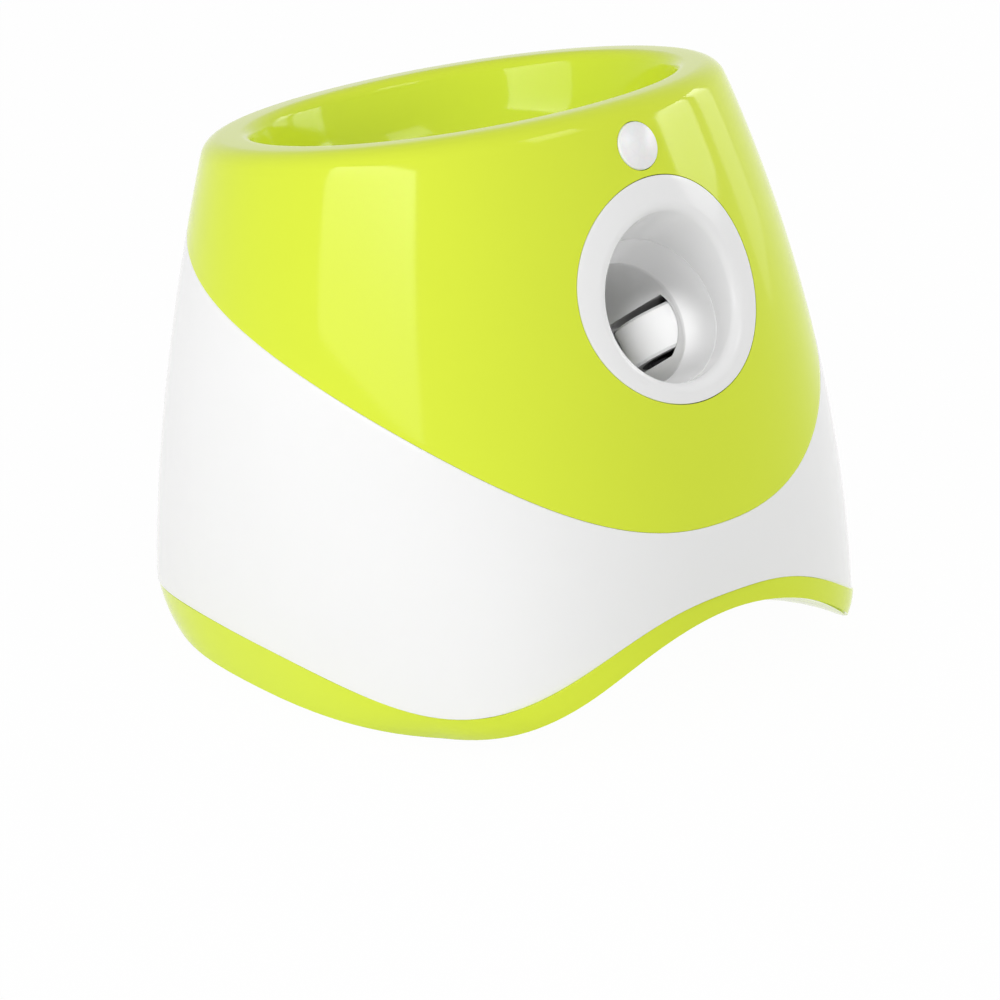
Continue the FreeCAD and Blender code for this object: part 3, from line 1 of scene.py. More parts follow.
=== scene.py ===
"""Looks of the automatic dog ball launcher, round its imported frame. Metres, +Z up, muzzle towards -Y."""

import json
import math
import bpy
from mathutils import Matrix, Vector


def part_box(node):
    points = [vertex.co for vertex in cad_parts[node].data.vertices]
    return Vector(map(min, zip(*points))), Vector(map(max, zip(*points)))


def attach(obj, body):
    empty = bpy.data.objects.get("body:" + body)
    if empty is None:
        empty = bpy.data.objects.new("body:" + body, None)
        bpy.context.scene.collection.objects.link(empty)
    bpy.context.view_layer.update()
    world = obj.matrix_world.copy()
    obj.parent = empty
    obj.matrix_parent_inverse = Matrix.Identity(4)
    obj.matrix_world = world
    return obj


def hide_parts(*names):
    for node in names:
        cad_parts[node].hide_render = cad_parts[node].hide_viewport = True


bl_info = {
    "name": "Automatic dog ball launcher",
    "version": (1, 0, 0),
    "blender": (4, 5, 0),
    "location": "3D View > Sidebar > Launcher",
    "description": "Glossy shells, muzzle, wheels and stage of a ball launcher for dogs",
    "category": "Object",
}

import bmesh
import bpy
from mathutils import Vector

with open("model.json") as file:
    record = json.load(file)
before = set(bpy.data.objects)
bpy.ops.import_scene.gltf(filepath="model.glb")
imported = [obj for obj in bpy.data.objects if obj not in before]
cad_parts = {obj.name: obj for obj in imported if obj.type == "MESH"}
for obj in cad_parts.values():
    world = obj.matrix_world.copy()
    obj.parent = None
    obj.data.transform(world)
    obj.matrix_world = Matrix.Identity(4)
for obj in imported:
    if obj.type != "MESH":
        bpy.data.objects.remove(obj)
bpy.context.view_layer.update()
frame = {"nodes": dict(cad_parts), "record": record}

MM = 0.001


# ------------------------------------------------------------------ sizes and colours
class LauncherForm(bpy.types.PropertyGroup):
    rim_height: bpy.props.FloatProperty(
        name="Rim height", description="Height of the rim's plane over the origin",
        default=224.3 * MM, unit="LENGTH", subtype="DISTANCE")
    rim_fall: bpy.props.FloatProperty(
        name="Rim fall", description="Fall of the rim for each metre towards the rear", default=0.231)
    lip_width: bpy.props.FloatProperty(
        name="Lip width", description="From the outer skin to the bowl's edge",
        default=17.4 * MM, unit="LENGTH", subtype="DISTANCE")
    rim_outer_round: bpy.props.FloatProperty(
        name="Outer rim radius", description="Rounding between skin and lip",
        default=9.6 * MM, unit="LENGTH", subtype="DISTANCE")
    rim_inner_round: bpy.props.FloatProperty(
        name="Inner rim radius", description="Rounding between lip and bowl",
        default=5.0 * MM, unit="LENGTH", subtype="DISTANCE")
    lip_rise: bpy.props.FloatProperty(
        name="Lip rise", description="Rise of the lip from the outer skin to the bowl's edge",
        default=0.4 * MM, unit="LENGTH", subtype="DISTANCE")
    funnel_angle: bpy.props.FloatProperty(
        name="Funnel angle", description="Lean of the bowl's wall from the upright",
        default=math.radians(28.0), unit="ROTATION", subtype="ANGLE")
    drain_radius: bpy.props.FloatProperty(
        name="Drain radius", description="Hole in the bowl's floor",
        default=29.0 * MM, unit="LENGTH", subtype="DISTANCE")
    wall: bpy.props.FloatProperty(
        name="Wall", description="Thickness of the moulded shells",
        default=2.6 * MM, unit="LENGTH", subtype="DISTANCE")
    edge_round: bpy.props.FloatProperty(
        name="Edge radius", description="Small rounding along the joints between shells",
        default=0.3 * MM, unit="LENGTH", subtype="DISTANCE")
    seam: bpy.props.FloatProperty(
        name="Seam", description="Half of the joint line between two shells",
        default=0.04 * MM, unit="LENGTH", subtype="DISTANCE")
    toe_height: bpy.props.FloatProperty(
        name="Toe height", description="Height over which the front toes are drawn in",
        default=24.0 * MM, unit="LENGTH", subtype="DISTANCE")
    toe_draw: bpy.props.FloatProperty(
        name="Toe draw", description="How far the front toes are drawn in at the floor",
        default=9.0 * MM, unit="LENGTH", subtype="DISTANCE")
    tyre_trim: bpy.props.FloatProperty(
        name="Tyre trim", description="How much narrower each side of a tyre is",
        default=1.0 * MM, unit="LENGTH", subtype="DISTANCE")
    muzzle_radius: bpy.props.FloatProperty(
        name="Muzzle ring radius", description="Outer radius of the white ring",
        default=44.8 * MM, unit="LENGTH", subtype="DISTANCE")
    mouth_round: bpy.props.FloatProperty(
        name="Mouth radius", description="Rounding at the muzzle ring's mouth",
        default=4.5 * MM, unit="LENGTH", subtype="DISTANCE")


class LauncherFinish(bpy.types.PropertyGroup):
    lime: bpy.props.FloatVectorProperty(
        name="Lime plastic", description="Colour of hood, base and battery door",
        size=3, subtype="COLOR", min=0.0, max=1.0, default=(0.750, 0.880, 0.048))
    white: bpy.props.FloatVectorProperty(
        name="White plastic", description="Colour of body, ring, barrel and panel",
        size=3, subtype="COLOR", min=0.0, max=1.0, default=(0.95, 0.95, 0.95))
    gloss: bpy.props.FloatProperty(
        name="Gloss roughness", description="Roughness of the polished mouldings",
        default=0.09, min=0.0, max=1.0)


# Outer form: half width, half length, lean and the outline's exponent, each at floor, waist and shoulder.
SHOULDER = 224.0 * MM
WIDTH = (123.2 * MM, 129.7 * MM, 104.5 * MM)
LENGTH = (143.8 * MM, 129.2 * MM, 98.9 * MM)
LEAN = (0.0, 5.0 * MM, 18.7 * MM)
SQUARENESS = (2.56, 2.13, 2.06)
# The form is shorter by the tuck at the floor, and by nothing from this height up.
TUCK, TUCK_HEIGHT = 16.7 * MM, 16.8 * MM
# Joint between hood and body: heights at equal steps of Y from minus to plus the reach.
PARTING_REACH = 140.0 * MM
PARTING = tuple(height * MM for height in (75.4, 123.9, 149.2, 165.5, 187.3))
# Joint between body and base: heights at equal angles from the front to the rear.
BAND = tuple(height * MM for height in (55.2, 34.3, 15.8, 22.6, 16.8, 10.8, 12.4))
# Bowl: middle and edge of its drain, end of the throat below it, and depth of its leaning wall.
DRAIN_Y, DRAIN_Z, THROAT_Z = 34.0 * MM, 165.0 * MM, 159.5 * MM
FUNNEL_DEPTH = 18.0 * MM
# Stretch of the skin below the rim that the rim's rounding starts from.
RIM_RUN = 24.0 * MM
# From this far out the toes are drawn in fully.
TOE_FROM = 80.0 * MM
# Middle of the feet in the form's own sections.
FEET_Y = 25.0 * MM
# Inner end of the muzzle's cup, its radius there and at its mouth, its length and its wall.
LAUNCH_ANGLE = math.radians(36.0)
MUZZLE = Vector((0.0, -88.3 * MM, 158.3 * MM))
CUP_RADIUS, CUP_MOUTH, CUP_LENGTH, CUP_WALL = 30.8 * MM, 33.2 * MM, 24.0 * MM, 2.4 * MM
# Muzzle ring and sensor dome: where they stand on the skin, and how they lean.
RING_CENTRE, RING_ANGLE = Vector((0.0, -103.4 * MM, 172.6 * MM)), math.radians(26.4)
RING_NORMAL = Vector((0, -math.cos(RING_ANGLE), math.sin(RING_ANGLE)))
RING_RISE = Vector((0, math.sin(RING_ANGLE), math.cos(RING_ANGLE)))
LENS_CENTRE, LENS_ANGLE = Vector((0.0, -79.5 * MM, 225.0 * MM)), math.radians(26.7)
LENS_NORMAL = Vector((0, -math.cos(LENS_ANGLE), math.sin(LENS_ANGLE)))
LENS_RADIUS, LENS_RISE, LENS_STAND = 9.6 * MM, 2.4 * MM, 0.4 * MM
# Room round the ring and the dome in the hood.
FIT = 0.3 * MM
# Rear panel and power inlet in the body.
PANEL_Z, PANEL_HALF, PANEL_R = 100.0 * MM, 36.3 * MM, 16.3 * MM
SOCKET_X, SOCKET_Z, SOCKET_HOLE = 34.0 * MM, 42.0 * MM, 6.15 * MM
BACK = Vector((0, 1, 0))
# Columns round a shell.
AROUND = 192
# Stage: what the lamps face, how far off they stand, and the spot on the tyre that the narrow beam lights.
LAMP_AIM, LAMP_DISTANCE = Vector((0.0, 0.0, 0.17)), 1.6
TREAD, BEAM_RADIUS = Vector((24.0 * MM, -67.0 * MM, 137.0 * MM)), 19.0 * MM
# Strength of the surroundings on the object, and share of plain white that the camera sees in the floor.
AMBIENT, FLOOR_WHITE = 0.42, 0.98
CAMERA = Vector((-1.497, -1.703, 0.986))
CAMERA_DOWN, CAMERA_TURN, CAMERA_LENS = math.radians(22.40), math.radians(-41.29), 215.9


# ------------------------------------------------------------------ outer form
def frame_shift():
    """From the form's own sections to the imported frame, along Y."""
    low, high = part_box("rubber_feet")
    return (low.y + high.y) / 2 - FEET_Y


def parabola(t, ends):
    """Value at share t of the shoulder's height, through floor, waist and shoulder."""
    floor, waist, shoulder = ends
    return floor * (1 - t) * (1 - 2 * t) + waist * 4 * t * (1 - t) + shoulder * t * (2 * t - 1)


def half_length(z):
    """Half length of the form at a height."""
    return parabola(z / SHOULDER, LENGTH) - TUCK * max(0.0, 1 - z / TUCK_HEIGHT) ** 2


def skin(angle, z, inset=0.0):
    """Point of the outer form; angle 0 is the front and 90 degrees the +X flank."""
    t = z / SHOULDER
    power = 2 / parabola(t, SQUARENESS)
    sine, cosine = math.sin(angle), math.cos(angle)
    x = (parabola(t, WIDTH) - inset) * math.copysign(abs(sine) ** power, sine)
    y = (half_length(z) - inset) * math.copysign(abs(cosine) ** power, cosine)
    return Vector((x, parabola(t, LEAN) - y, z))


def outside(point):
    """Above 0 outside the outer form, below 0 inside."""
    t = point.z / SHOULDER
    power = parabola(t, SQUARENESS)
    across = abs(point.x) / parabola(t, WIDTH)
    along = abs(point.y - parabola(t, LEAN)) / half_length(point.z)
    return across ** power + along ** power - 1


def reach_skin(point_at, low, high):
    """Last value between low and high whose point lies inside the outer form."""
    for _ in range(40):
        middle = (low + high) / 2
        if outside(point_at(middle)) > 0:
            high = middle
        else:
            low = middle
    return low


def on_skin(start, direction, reach):
    """Where a line through start meets the outer form."""
    return start + direction * reach_skin(lambda way: start + direction * way, -reach, reach)


def at_level(angle, level, inset=0.0, drop=0.0):
    """Point of the form at the height that a level function of Y gives."""
    z = level(0.0) - drop
    for _ in range(14):
        z = level(skin(angle, z, inset).y) - drop
    return skin(angle, z, inset)


def parting_level(y):
    """Height of the joint between hood and body, on one smooth curve through its heights."""
    step = PARTING_REACH / 2
    total = 0.0
    for k, height in enumerate(PARTING):
        term = height
        for j in range(len(PARTING)):
            if j != k:
                term *= (y / step - (j - 2)) / (k - j)
        total += term
    return total


def band_level(angle):
    """Height of the joint between body and base, on one smooth wave through its heights."""
    count = len(BAND) - 1
    total = 0.0
    for k in range(count + 1):
        weight = 0.5 if k in (0, count) else 1.0
        term = sum((0.5 if j in (0, count) else 1.0) * height * math.cos(math.pi * k * j / count)
                   for j, height in enumerate(BAND))
        total += weight * term * math.cos(k * angle) * 2 / count
    return total


def band_height(angle):
    """Height of the band's top edge where the angle meets the skin."""
    z = BAND[3]
    for _ in range(10):
        point = skin(angle, z)
        across = (abs(point.x) / WIDTH[0]) ** (SQUARENESS[0] / 2)
        ahead = math.copysign((abs(point.y) / LENGTH[0]) ** (SQUARENESS[0] / 2), -point.y)
        z = band_level(math.atan2(across, ahead))
    return z


def launch(x, back, up):
    """Point given across, back along the barrel's axis and square to it."""
    cosine, sine = math.cos(LAUNCH_ANGLE), math.sin(LAUNCH_ANGLE)
    return MUZZLE + Vector((x, back * cosine + up * sine, -back * sine + up * cosine))


def steps_between(low, high, count):
    return [low + (high - low) * k / count for k in range(count + 1)]


def bezier(a, b, c, d, steps):
    """Points of a cubic curve from a to d."""
    points = []
    for k in range(steps + 1):
        t = k / steps
        points.append(a * (1 - t) ** 3 + b * 3 * t * (1 - t) ** 2 + c * 3 * t * t * (1 - t) + d * t ** 3)
    return points


def corner_arc(before, corner, after, radius, steps):
    """Points of a rounded corner between two straight directions."""
    u, v = (before - corner).normalized(), (after - corner).normalized()
    opening = u.angle(v)
    shorter = min((before - corner).length, (after - corner).length)
    reach = min(radius / math.tan(opening / 2), shorter * 0.98)
    handle = reach - 4 / 3 * math.tan((math.pi - opening) / 4) * reach * math.tan(opening / 2)
    return bezier(corner + u * reach, corner + u * handle, corner + v * handle, corner + v * reach, steps)


def edge_roll(angle, z, radius, side):
    """Rounded edge of a shell at height z: side 1 is its lower edge, -1 its upper edge."""
    turns = [math.radians(t) for t in (0.0, 22.5, 45.0, 67.5)]
    points = [skin(angle, z + side * radius * (1 - math.cos(t)), radius * (1 - math.sin(t))) for t in turns]
    return points[::side]


# ------------------------------------------------------------------ modelling helpers
def only(piece):
    """Select this piece alone."""
    bpy.ops.object.select_all(action="DESELECT")
    piece.select_set(True)
    bpy.context.view_layer.objects.active = piece


def apply_place(piece):
    """Put the object's place, turn and scale into its mesh."""
    only(piece)
    bpy.ops.object.transform_apply(location=True, rotation=True, scale=True)


def loft(name, outlines):
    """A circle drawn out from outline to outline; all outlines have the same number of points."""
    bpy.ops.object.select_all(action="DESELECT")
    bpy.ops.mesh.primitive_circle_add(vertices=len(outlines[0]), radius=0.05, fill_type="NOTHING")
    piece = bpy.context.object
    piece.name = piece.data.name = name
    bpy.ops.object.mode_set(mode="EDIT")
    bpy.ops.mesh.select_all(action="SELECT")
    ring = None
    for number, outline in enumerate(outlines):
        if number:
            bpy.ops.mesh.extrude_edges_move()
        shape = bmesh.from_edit_mesh(piece.data)
        shape.verts.ensure_lookup_table()
        if ring is None:
            places = [(math.atan2(v.co.y, v.co.x) % (2 * math.pi), v) for v in shape.verts if v.select]
            ordered = [v for _, v in sorted(places, key=lambda place: place[0])]
        else:
            ordered = []
            for index in ring:
                old = shape.verts[index]
                ordered.append(next(e.other_vert(old) for e in old.link_edges if e.other_vert(old).select))
        for vertex, point in zip(ordered, outline):
            vertex.co = point
        ring = [v.index for v in ordered]
        bmesh.update_edit_mesh(piece.data)
    bpy.ops.mesh.select_all(action="SELECT")
    bpy.ops.mesh.normals_make_consistent(inside=False)
    bpy.ops.object.mode_set(mode="OBJECT")
    return piece


def loft_columns(name, columns):
    """A loft from columns of points that stand side by side round the form."""
    return loft(name, [list(row) for row in zip(*columns)])


def turned(name, profile, start, direction, count):
    """A ring piece turned from (radius, distance) points round an axis."""
    side = Vector((1, 0, 0))
    other = direction.cross(side).normalized()
    outlines = []
    for radius, reach in profile:
        centre = start + direction * reach
        outlines.append([centre + side * (radius * math.cos(2 * math.pi * k / count))
                         + other * (radius * math.sin(2 * math.pi * k / count)) for k in range(count)])
    return loft(name, outlines)


def face_along(piece, probe, direction):
    """Turn the faces so that those near the probe look along the direction."""
    nearest = min(piece.data.polygons, key=lambda face: (face.center - probe).length)
    if nearest.normal.dot(direction) < 0:
        only(piece)
        bpy.ops.object.mode_set(mode="EDIT")
        bpy.ops.mesh.select_all(action="SELECT")
        bpy.ops.mesh.flip_normals()
        bpy.ops.object.mode_set(mode="OBJECT")


def apply_modifier(piece, kind, **settings):
    only(piece)
    modifier = piece.modifiers.new(kind.lower(), kind)
    for key, value in settings.items():
        setattr(modifier, key, value)
    bpy.ops.object.modifier_apply(modifier=modifier.name)


def thicken(piece, wall):
    """Give a skin its wall, inwards."""
    apply_modifier(piece, "SOLIDIFY", thickness=wall, offset=-1.0)


def cut(piece, cutter):
    """Take the cutter's form out of the piece."""
    apply_modifier(piece, "BOOLEAN", operation="DIFFERENCE", solver="EXACT", object=cutter)
    bpy.data.objects.remove(cutter)


def drum(radius, start, direction, length, sides):
    """A cylinder along a direction, used as a cutter."""
    bpy.ops.object.select_all(action="DESELECT")
    bpy.ops.mesh.primitive_cylinder_add(
        vertices=sides, radius=radius, depth=length,
        rotation=Vector((0, 0, 1)).rotation_difference(direction).to_euler(),
        location=start + direction * length / 2)
    piece = bpy.context.object
    apply_place(piece)
    return piece


def block(centre, size):
    """A box, used as a cutter."""
    bpy.ops.object.select_all(action="DESELECT")
    bpy.ops.mesh.primitive_cube_add(size=1, location=centre, scale=size)
    piece = bpy.context.object
    apply_place(piece)
    return piece


def merged_copy(node, name):
    """A copy of an engineered piece with its doubled points merged, ready to be reshaped."""
    only(frame["nodes"][node])
    bpy.ops.object.duplicate()
    piece = bpy.context.object
    piece.parent = None
    for key in list(piece.keys()):
        if key.startswith("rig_"):
            del piece[key]
    piece.name = piece.data.name = name
    bpy.ops.object.mode_set(mode="EDIT")
    bpy.ops.mesh.select_all(action="SELECT")
    bpy.ops.mesh.remove_doubles(threshold=0.002 * MM)
    bpy.ops.mesh.customdata_custom_splitnormals_clear()
    bpy.ops.object.mode_set(mode="OBJECT")
    return piece


def smooth(piece, angle):
    """Smooth shading up to an angle in degrees between faces."""
    only(piece)
    bpy.ops.object.shade_smooth_by_angle(angle=math.radians(angle))


def dress(piece, body, slot, replaced):
    """Give the piece its finish, tie it to its body and let it stand for an engineered piece."""
    piece.data.materials.clear()
    piece.data.materials.append(materials[slot])
    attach(piece, body)
    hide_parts(replaced)


def dress_shell(piece, slot, replaced):
    """Move a piece of the housing from the form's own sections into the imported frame, and dress it."""
    piece.location.y += frame_shift()
    apply_place(piece)
    dress(piece, "housing", slot, replaced)


# ------------------------------------------------------------------ shader helpers
class Nodes:
    """A node tree and the one way to add to it."""

    def __init__(self, tree):
        self.tree = tree

    def add(self, kind, settings=None, sockets=None):
        """A node of a kind; its settings are set first, then its sockets are linked or given values."""
        node = self.tree.nodes.new(kind)
        for key, value in (settings or {}).items():
            setattr(node, key, value)
        for key, value in (sockets or {}).items():
            self.feed(node.inputs[key], value)
        return node

    def feed(self, socket, value):
        """Link a term or an output to a socket, or give the socket a plain value."""
        if isinstance(value, Term):
            value = value.output
        if isinstance(value, bpy.types.NodeSocket):
            self.tree.links.new(value, socket)
        else:
            socket.default_value = value

    def rays(self):
        """Terms that are 1 on camera, on glossy and on transmission rays."""
        paths = self.add("ShaderNodeLightPath")
        kinds = ("Camera", "Glossy", "Transmission")
        return [Term(self, paths.outputs["Is " + kind + " Ray"]) for kind in kinds]


class Term:
    """A node's output in a shader expression."""

    def __init__(self, nodes, output):
        self.nodes = nodes
        self.output = output

    def maths(self, operation, first, second, clamped=False):
        settings = {"operation": operation, "use_clamp": clamped}
        node = self.nodes.add("ShaderNodeMath", settings, {0: first, 1: second})
        return Term(self.nodes, node.outputs[0])

    def __add__(self, other):
        return self.maths("ADD", self, other)

    __radd__ = __add__

    def __sub__(self, other):
        return self.maths("SUBTRACT", self, other)

    def __rsub__(self, other):
        return self.maths("SUBTRACT", other, self)

    def __mul__(self, other):
        return self.maths("MULTIPLY", self, other)

    __rmul__ = __mul__

    def clamp(self):
        """The term kept between 0 and 1."""
        return self.maths("ADD", self, 0.0, clamped=True)


class Finish(Nodes):
    """A material with its Principled shader and the patterns that feed it."""

    def __init__(self, name, colour, roughness, **constants):
        self.material = bpy.data.materials.new(name)
        self.material.use_nodes = True
        self.material.diffuse_color = (*colour, 1)
        super().__init__(self.material.node_tree)
        self.shader = self.tree.nodes["Principled BSDF"]
        self.feed(self.shader.inputs["Base Color"], (*colour, 1))
        self.feed(self.shader.inputs["Roughness"], roughness)
        for key, value in constants.items():
            self.feed(self.shader.inputs[key.replace("_", " ")], value)
        self.place = self.add("ShaderNodeTexCoord").outputs["Object"]

    def noise(self, scale, detail):
        """Soft clouds, by their count for each metre and their layers."""
        sockets = {"Vector": self.place, "Scale": scale, "Detail": detail}
        node = self.add("ShaderNodeTexNoise", sockets=sockets)
        return Term(self, node.outputs["Fac"])

    def stretched(self, scale):
        """The piece's own coordinates, scaled along each axis."""
        sockets = {"Vector": self.place, "Scale": scale}
        return self.add("ShaderNodeMapping", sockets=sockets).outputs["Vector"]

    def colours(self, pattern, first, second):
        """Let the colour run between two colours along a pattern."""
        sockets = {0: pattern, 6: (*first, 1), 7: (*second, 1)}
        node = self.add("ShaderNodeMix", {"data_type": "RGBA"}, sockets)
        self.feed(self.shader.inputs["Base Color"], node.outputs[2])

    def swing(self, pattern, roughness, spread):
        """Let the roughness swing round its value along a pattern."""
        self.feed(self.shader.inputs["Roughness"], roughness + (pattern - 0.5) * spread)

    def bump(self, height, distance, strength):
        """Raise the surface's look along a pattern."""
        sockets = {"Height": height, "Distance": distance, "Strength": strength}
        node = self.add("ShaderNodeBump", sockets=sockets)
        self.feed(self.shader.inputs["Normal"], node.outputs["Normal"])


def shade(colour, factor):
    """The colour made lighter or darker, and never brighter than white."""
    return tuple(min(1.0, channel * factor) for channel in colour)


def polished_plastic(name, colour, roughness):
    """Polished moulding: even colour with faint flow clouds and a very slight waviness in the gloss."""
    finish = Finish(name, colour, roughness, IOR=1.5, Specular_IOR_Level=0.2)
    finish.colours(finish.noise(9.0, 3.0), shade(colour, 0.975), shade(colour, 1.02))
    finish.swing(finish.noise(35.0, 4.0), roughness, 0.05)
    finish.bump(finish.noise(160.0, 2.0), 0.02 * MM, 0.35)
    return finish.material


def satin_plastic(name, colour, roughness=0.45):
    """Spark-eroded moulding: fine even grain."""
    finish = Finish(name, colour, roughness)
    finish.colours(finish.noise(14.0, 3.0), shade(colour, 0.94), shade(colour, 1.05))
    finish.swing(finish.noise(60.0, 4.0), roughness, 0.12)
    finish.bump(finish.noise(2600.0, 2.0), 0.03 * MM, 0.5)
    return finish.material


def soft_rubber(name, colour, roughness):
    """Dull rubber with a fine grain."""
    finish = Finish(name, colour, roughness, Specular_IOR_Level=0.4)
    finish.colours(finish.noise(30.0, 4.0), shade(colour, 0.93), shade(colour, 1.03))
    finish.swing(finish.noise(90.0, 3.0), roughness, 0.15)
    finish.bump(finish.noise(1500.0, 3.0), 0.03 * MM, 0.4)
    return finish.material


def bare_metal(name, colour, roughness):
    """Drawn or ground metal with fine lines along Z."""
    finish = Finish(name, colour, roughness, Metallic=1.0)
    sockets = {"Vector": finish.stretched((900.0, 900.0, 60.0)), "Scale": 1.0, "Detail": 3.0}
    lines = Term(finish, finish.add("ShaderNodeTexNoise", sockets=sockets).outputs["Fac"])
    finish.colours(lines, shade(colour, 0.88), shade(colour, 1.06))
    finish.swing(lines, roughness, 0.16)
    return finish.material


def circuit_board(name):
    """Green board with the faint grid of its tracks."""
    finish = Finish(name, (0.02, 0.16, 0.06), 0.35)
    sockets = {"Vector": finish.stretched((260.0, 260.0, 260.0)), "Scale": 1.0}
    tracks = Term(finish, finish.add("ShaderNodeTexBrick", sockets=sockets).outputs["Fac"])
    finish.colours(tracks, (0.015, 0.13, 0.05), (0.05, 0.30, 0.12))
    finish.swing(tracks, 0.35, 0.1)
    return finish.material


def milky_dome(name):
    """Thin milky window of the sensor, with the faint facets of its inner lens."""
    finish = Finish(name, (0.94, 0.94, 0.94), 0.33, Subsurface_Weight=0.2, Subsurface_Scale=0.003)
    sockets = {"Vector": finish.place, "Scale": 260.0}
    facets = finish.add("ShaderNodeTexVoronoi", {"feature": "DISTANCE_TO_EDGE"}, sockets)
    middle = (Term(finish, facets.outputs["Distance"]) * 9.0).clamp()
    finish.colours(middle, (0.925, 0.925, 0.925), (0.945, 0.945, 0.945))
    finish.swing(finish.noise(80.0, 3.0), 0.33, 0.06)
    return finish.material


materials = {}


def make_materials(finish):
    """One material for each finish of the frame, by the name of its slot."""
    lime, white, gloss = tuple(finish.lime), tuple(finish.white), finish.gloss
    materials.update({
        "lime_shell": polished_plastic("lime_gloss", lime, gloss),
        "white_shell": polished_plastic("white_gloss", white, gloss + 0.04),
        "lens": milky_dome("milky_dome"),
        "sensor_can": bare_metal("sensor_can_metal", (0.75, 0.75, 0.73), 0.3),
        "circuit_board": circuit_board("green_board"),
        "screw_steel": bare_metal("zinc_plate", (0.62, 0.62, 0.63), 0.34),
        "barrel_white": polished_plastic("barrel_gloss", white, gloss + 0.06),
        "inner_white": satin_plastic("inner_satin", shade(white, 0.92), 0.38),
        "wheel_rubber": polished_plastic("wheel_tread", shade(white, 1.01), 0.2),
        "wheel_hub": satin_plastic("hub_nylon", (0.035, 0.035, 0.038)),
        "shaft_steel": bare_metal("ground_shaft", (0.70, 0.70, 0.71), 0.22),
        "motor_can": bare_metal("drawn_can", (0.55, 0.55, 0.56), 0.3),
        "bronze": bare_metal("sintered_bronze", (0.62, 0.42, 0.22), 0.42),
        "gate_plastic": satin_plastic("acetal", (0.78, 0.78, 0.76), 0.35),
        "gearmotor": satin_plastic("gearmotor_black", (0.02, 0.02, 0.022)),
        "switch_body": satin_plastic("switch_black", (0.015, 0.015, 0.017)),
        "frame_plastic": satin_plastic("frame_grey", (0.045, 0.045, 0.048), 0.5),
        "battery_box": satin_plastic("box_black", (0.02, 0.02, 0.022), 0.5),
        "cell_wrap": satin_plastic("cell_sleeve", (0.03, 0.033, 0.04), 0.3),
        "spring_steel": bare_metal("nickel_spring", (0.76, 0.75, 0.72), 0.25),
        "foot_rubber": soft_rubber("foot_rubber", (0.03, 0.03, 0.032), 0.705),
        "panel_white": polished_plastic("panel_gloss", shade(white, 0.98), gloss + 0.05),
        "button_grey": satin_plastic("key_grey", (0.16, 0.165, 0.175), 0.32),
        "indicator": polished_plastic("indicator_green", (0.35, 0.75, 0.45), 0.15),
        "socket_black": satin_plastic("socket_black", (0.012, 0.012, 0.013), 0.4),
        "components": satin_plastic("component_black", (0.02, 0.02, 0.022), 0.45),
    })


# ------------------------------------------------------------------ pieces
class LAUNCHER_OT_finishes(bpy.types.Operator):
    """Materials of all pieces that keep their engineered shape"""

    bl_idname = "launcher.finishes"
    bl_label = "Finishes"

    def execute(self, context):
        make_materials(context.scene.launcher_finish)
        slots = {part["node"]: part["material_slot"] for part in frame["record"]["subparts"]}
        for name, node in frame["nodes"].items():
            node.data.materials.clear()
            node.data.materials.append(materials[slots[name]])
        return {"FINISHED"}


class LAUNCHER_OT_hood(bpy.types.Operator):
    """Lime hood with its rolled rim, bowl and drain"""

    bl_idname = "launcher.hood"
    bl_label = "Hood and bowl"

    def column(self, form, angle):
        """Points from the joint up the skin, over the rim and down the funnel to the drain."""
        def rim_level(y):
            return form.rim_height - form.rim_fall * y

        def crest_level(y):
            return rim_level(y) + form.lip_rise

        foot = at_level(angle, lambda y: parting_level(y) + form.seam)
        top = at_level(angle, rim_level)
        below = at_level(angle, rim_level, 0.0, min(RIM_RUN, (top.z - foot.z) * 0.95))
        crest = at_level(angle, crest_level, form.lip_width)
        deep_inset = form.lip_width + FUNNEL_DEPTH * math.tan(form.funnel_angle)
        wall = at_level(angle, crest_level, deep_inset, FUNNEL_DEPTH)

        points = edge_roll(angle, foot.z, form.edge_round, 1)
        roll = corner_arc(below, top, crest, form.rim_outer_round, 12)
        points += [skin(angle, z) for z in steps_between(foot.z + form.edge_round, roll[0].z, 53)[:-1]]
        inner = corner_arc(top, crest, wall, form.rim_inner_round, 10)
        points += roll + [roll[-1].lerp(inner[0], 0.5)] + inner
        points += [inner[-1].lerp(wall, share) for share in (0.25, 0.5, 0.75, 1.0)]

        around = Vector((math.sin(angle), -math.cos(angle), 0.0))
        low = Vector((0.0, DRAIN_Y, DRAIN_Z)) + around * (form.drain_radius + MM)
        lean = (wall - crest).normalized()
        run = (low - wall).length
        away = Vector((wall.x - low.x, wall.y - low.y, 0.0)).normalized()
        level_out = low + away * run * 0.3 + Vector((0, 0, MM))
        points += bezier(wall, wall + lean * run * 0.45, level_out, low, 30)[1:]
        for radius, z in ((form.drain_radius + 0.3 * MM, DRAIN_Z - 0.05 * MM),
                          (form.drain_radius, DRAIN_Z - 0.4 * MM),
                          (form.drain_radius, DRAIN_Z - 2 * MM),
                          (form.drain_radius, THROAT_Z)):
            points.append(Vector((0.0, DRAIN_Y, z)) + around * radius)
        return points

    def execute(self, context):
        form = context.scene.launcher_form
        columns = [self.column(form, 2 * math.pi * (k + 0.5) / AROUND) for k in range(AROUND)]
        piece = loft_columns("hood", columns)
        face_along(piece, Vector((0, -110 * MM, 100 * MM)), -BACK)
        thicken(piece, form.wall)
        start = RING_CENTRE - RING_NORMAL * 20 * MM
        cut(piece, drum(form.muzzle_radius + FIT, start, RING_NORMAL, 60 * MM, 256))
        start = LENS_CENTRE - LENS_NORMAL * 8 * MM
        cut(piece, drum(LENS_RADIUS + FIT, start, LENS_NORMAL, 30 * MM, 96))
        smooth(piece, 35)
        dress_shell(piece, "lime_shell", "upper_shell")
        return {"FINISHED"}


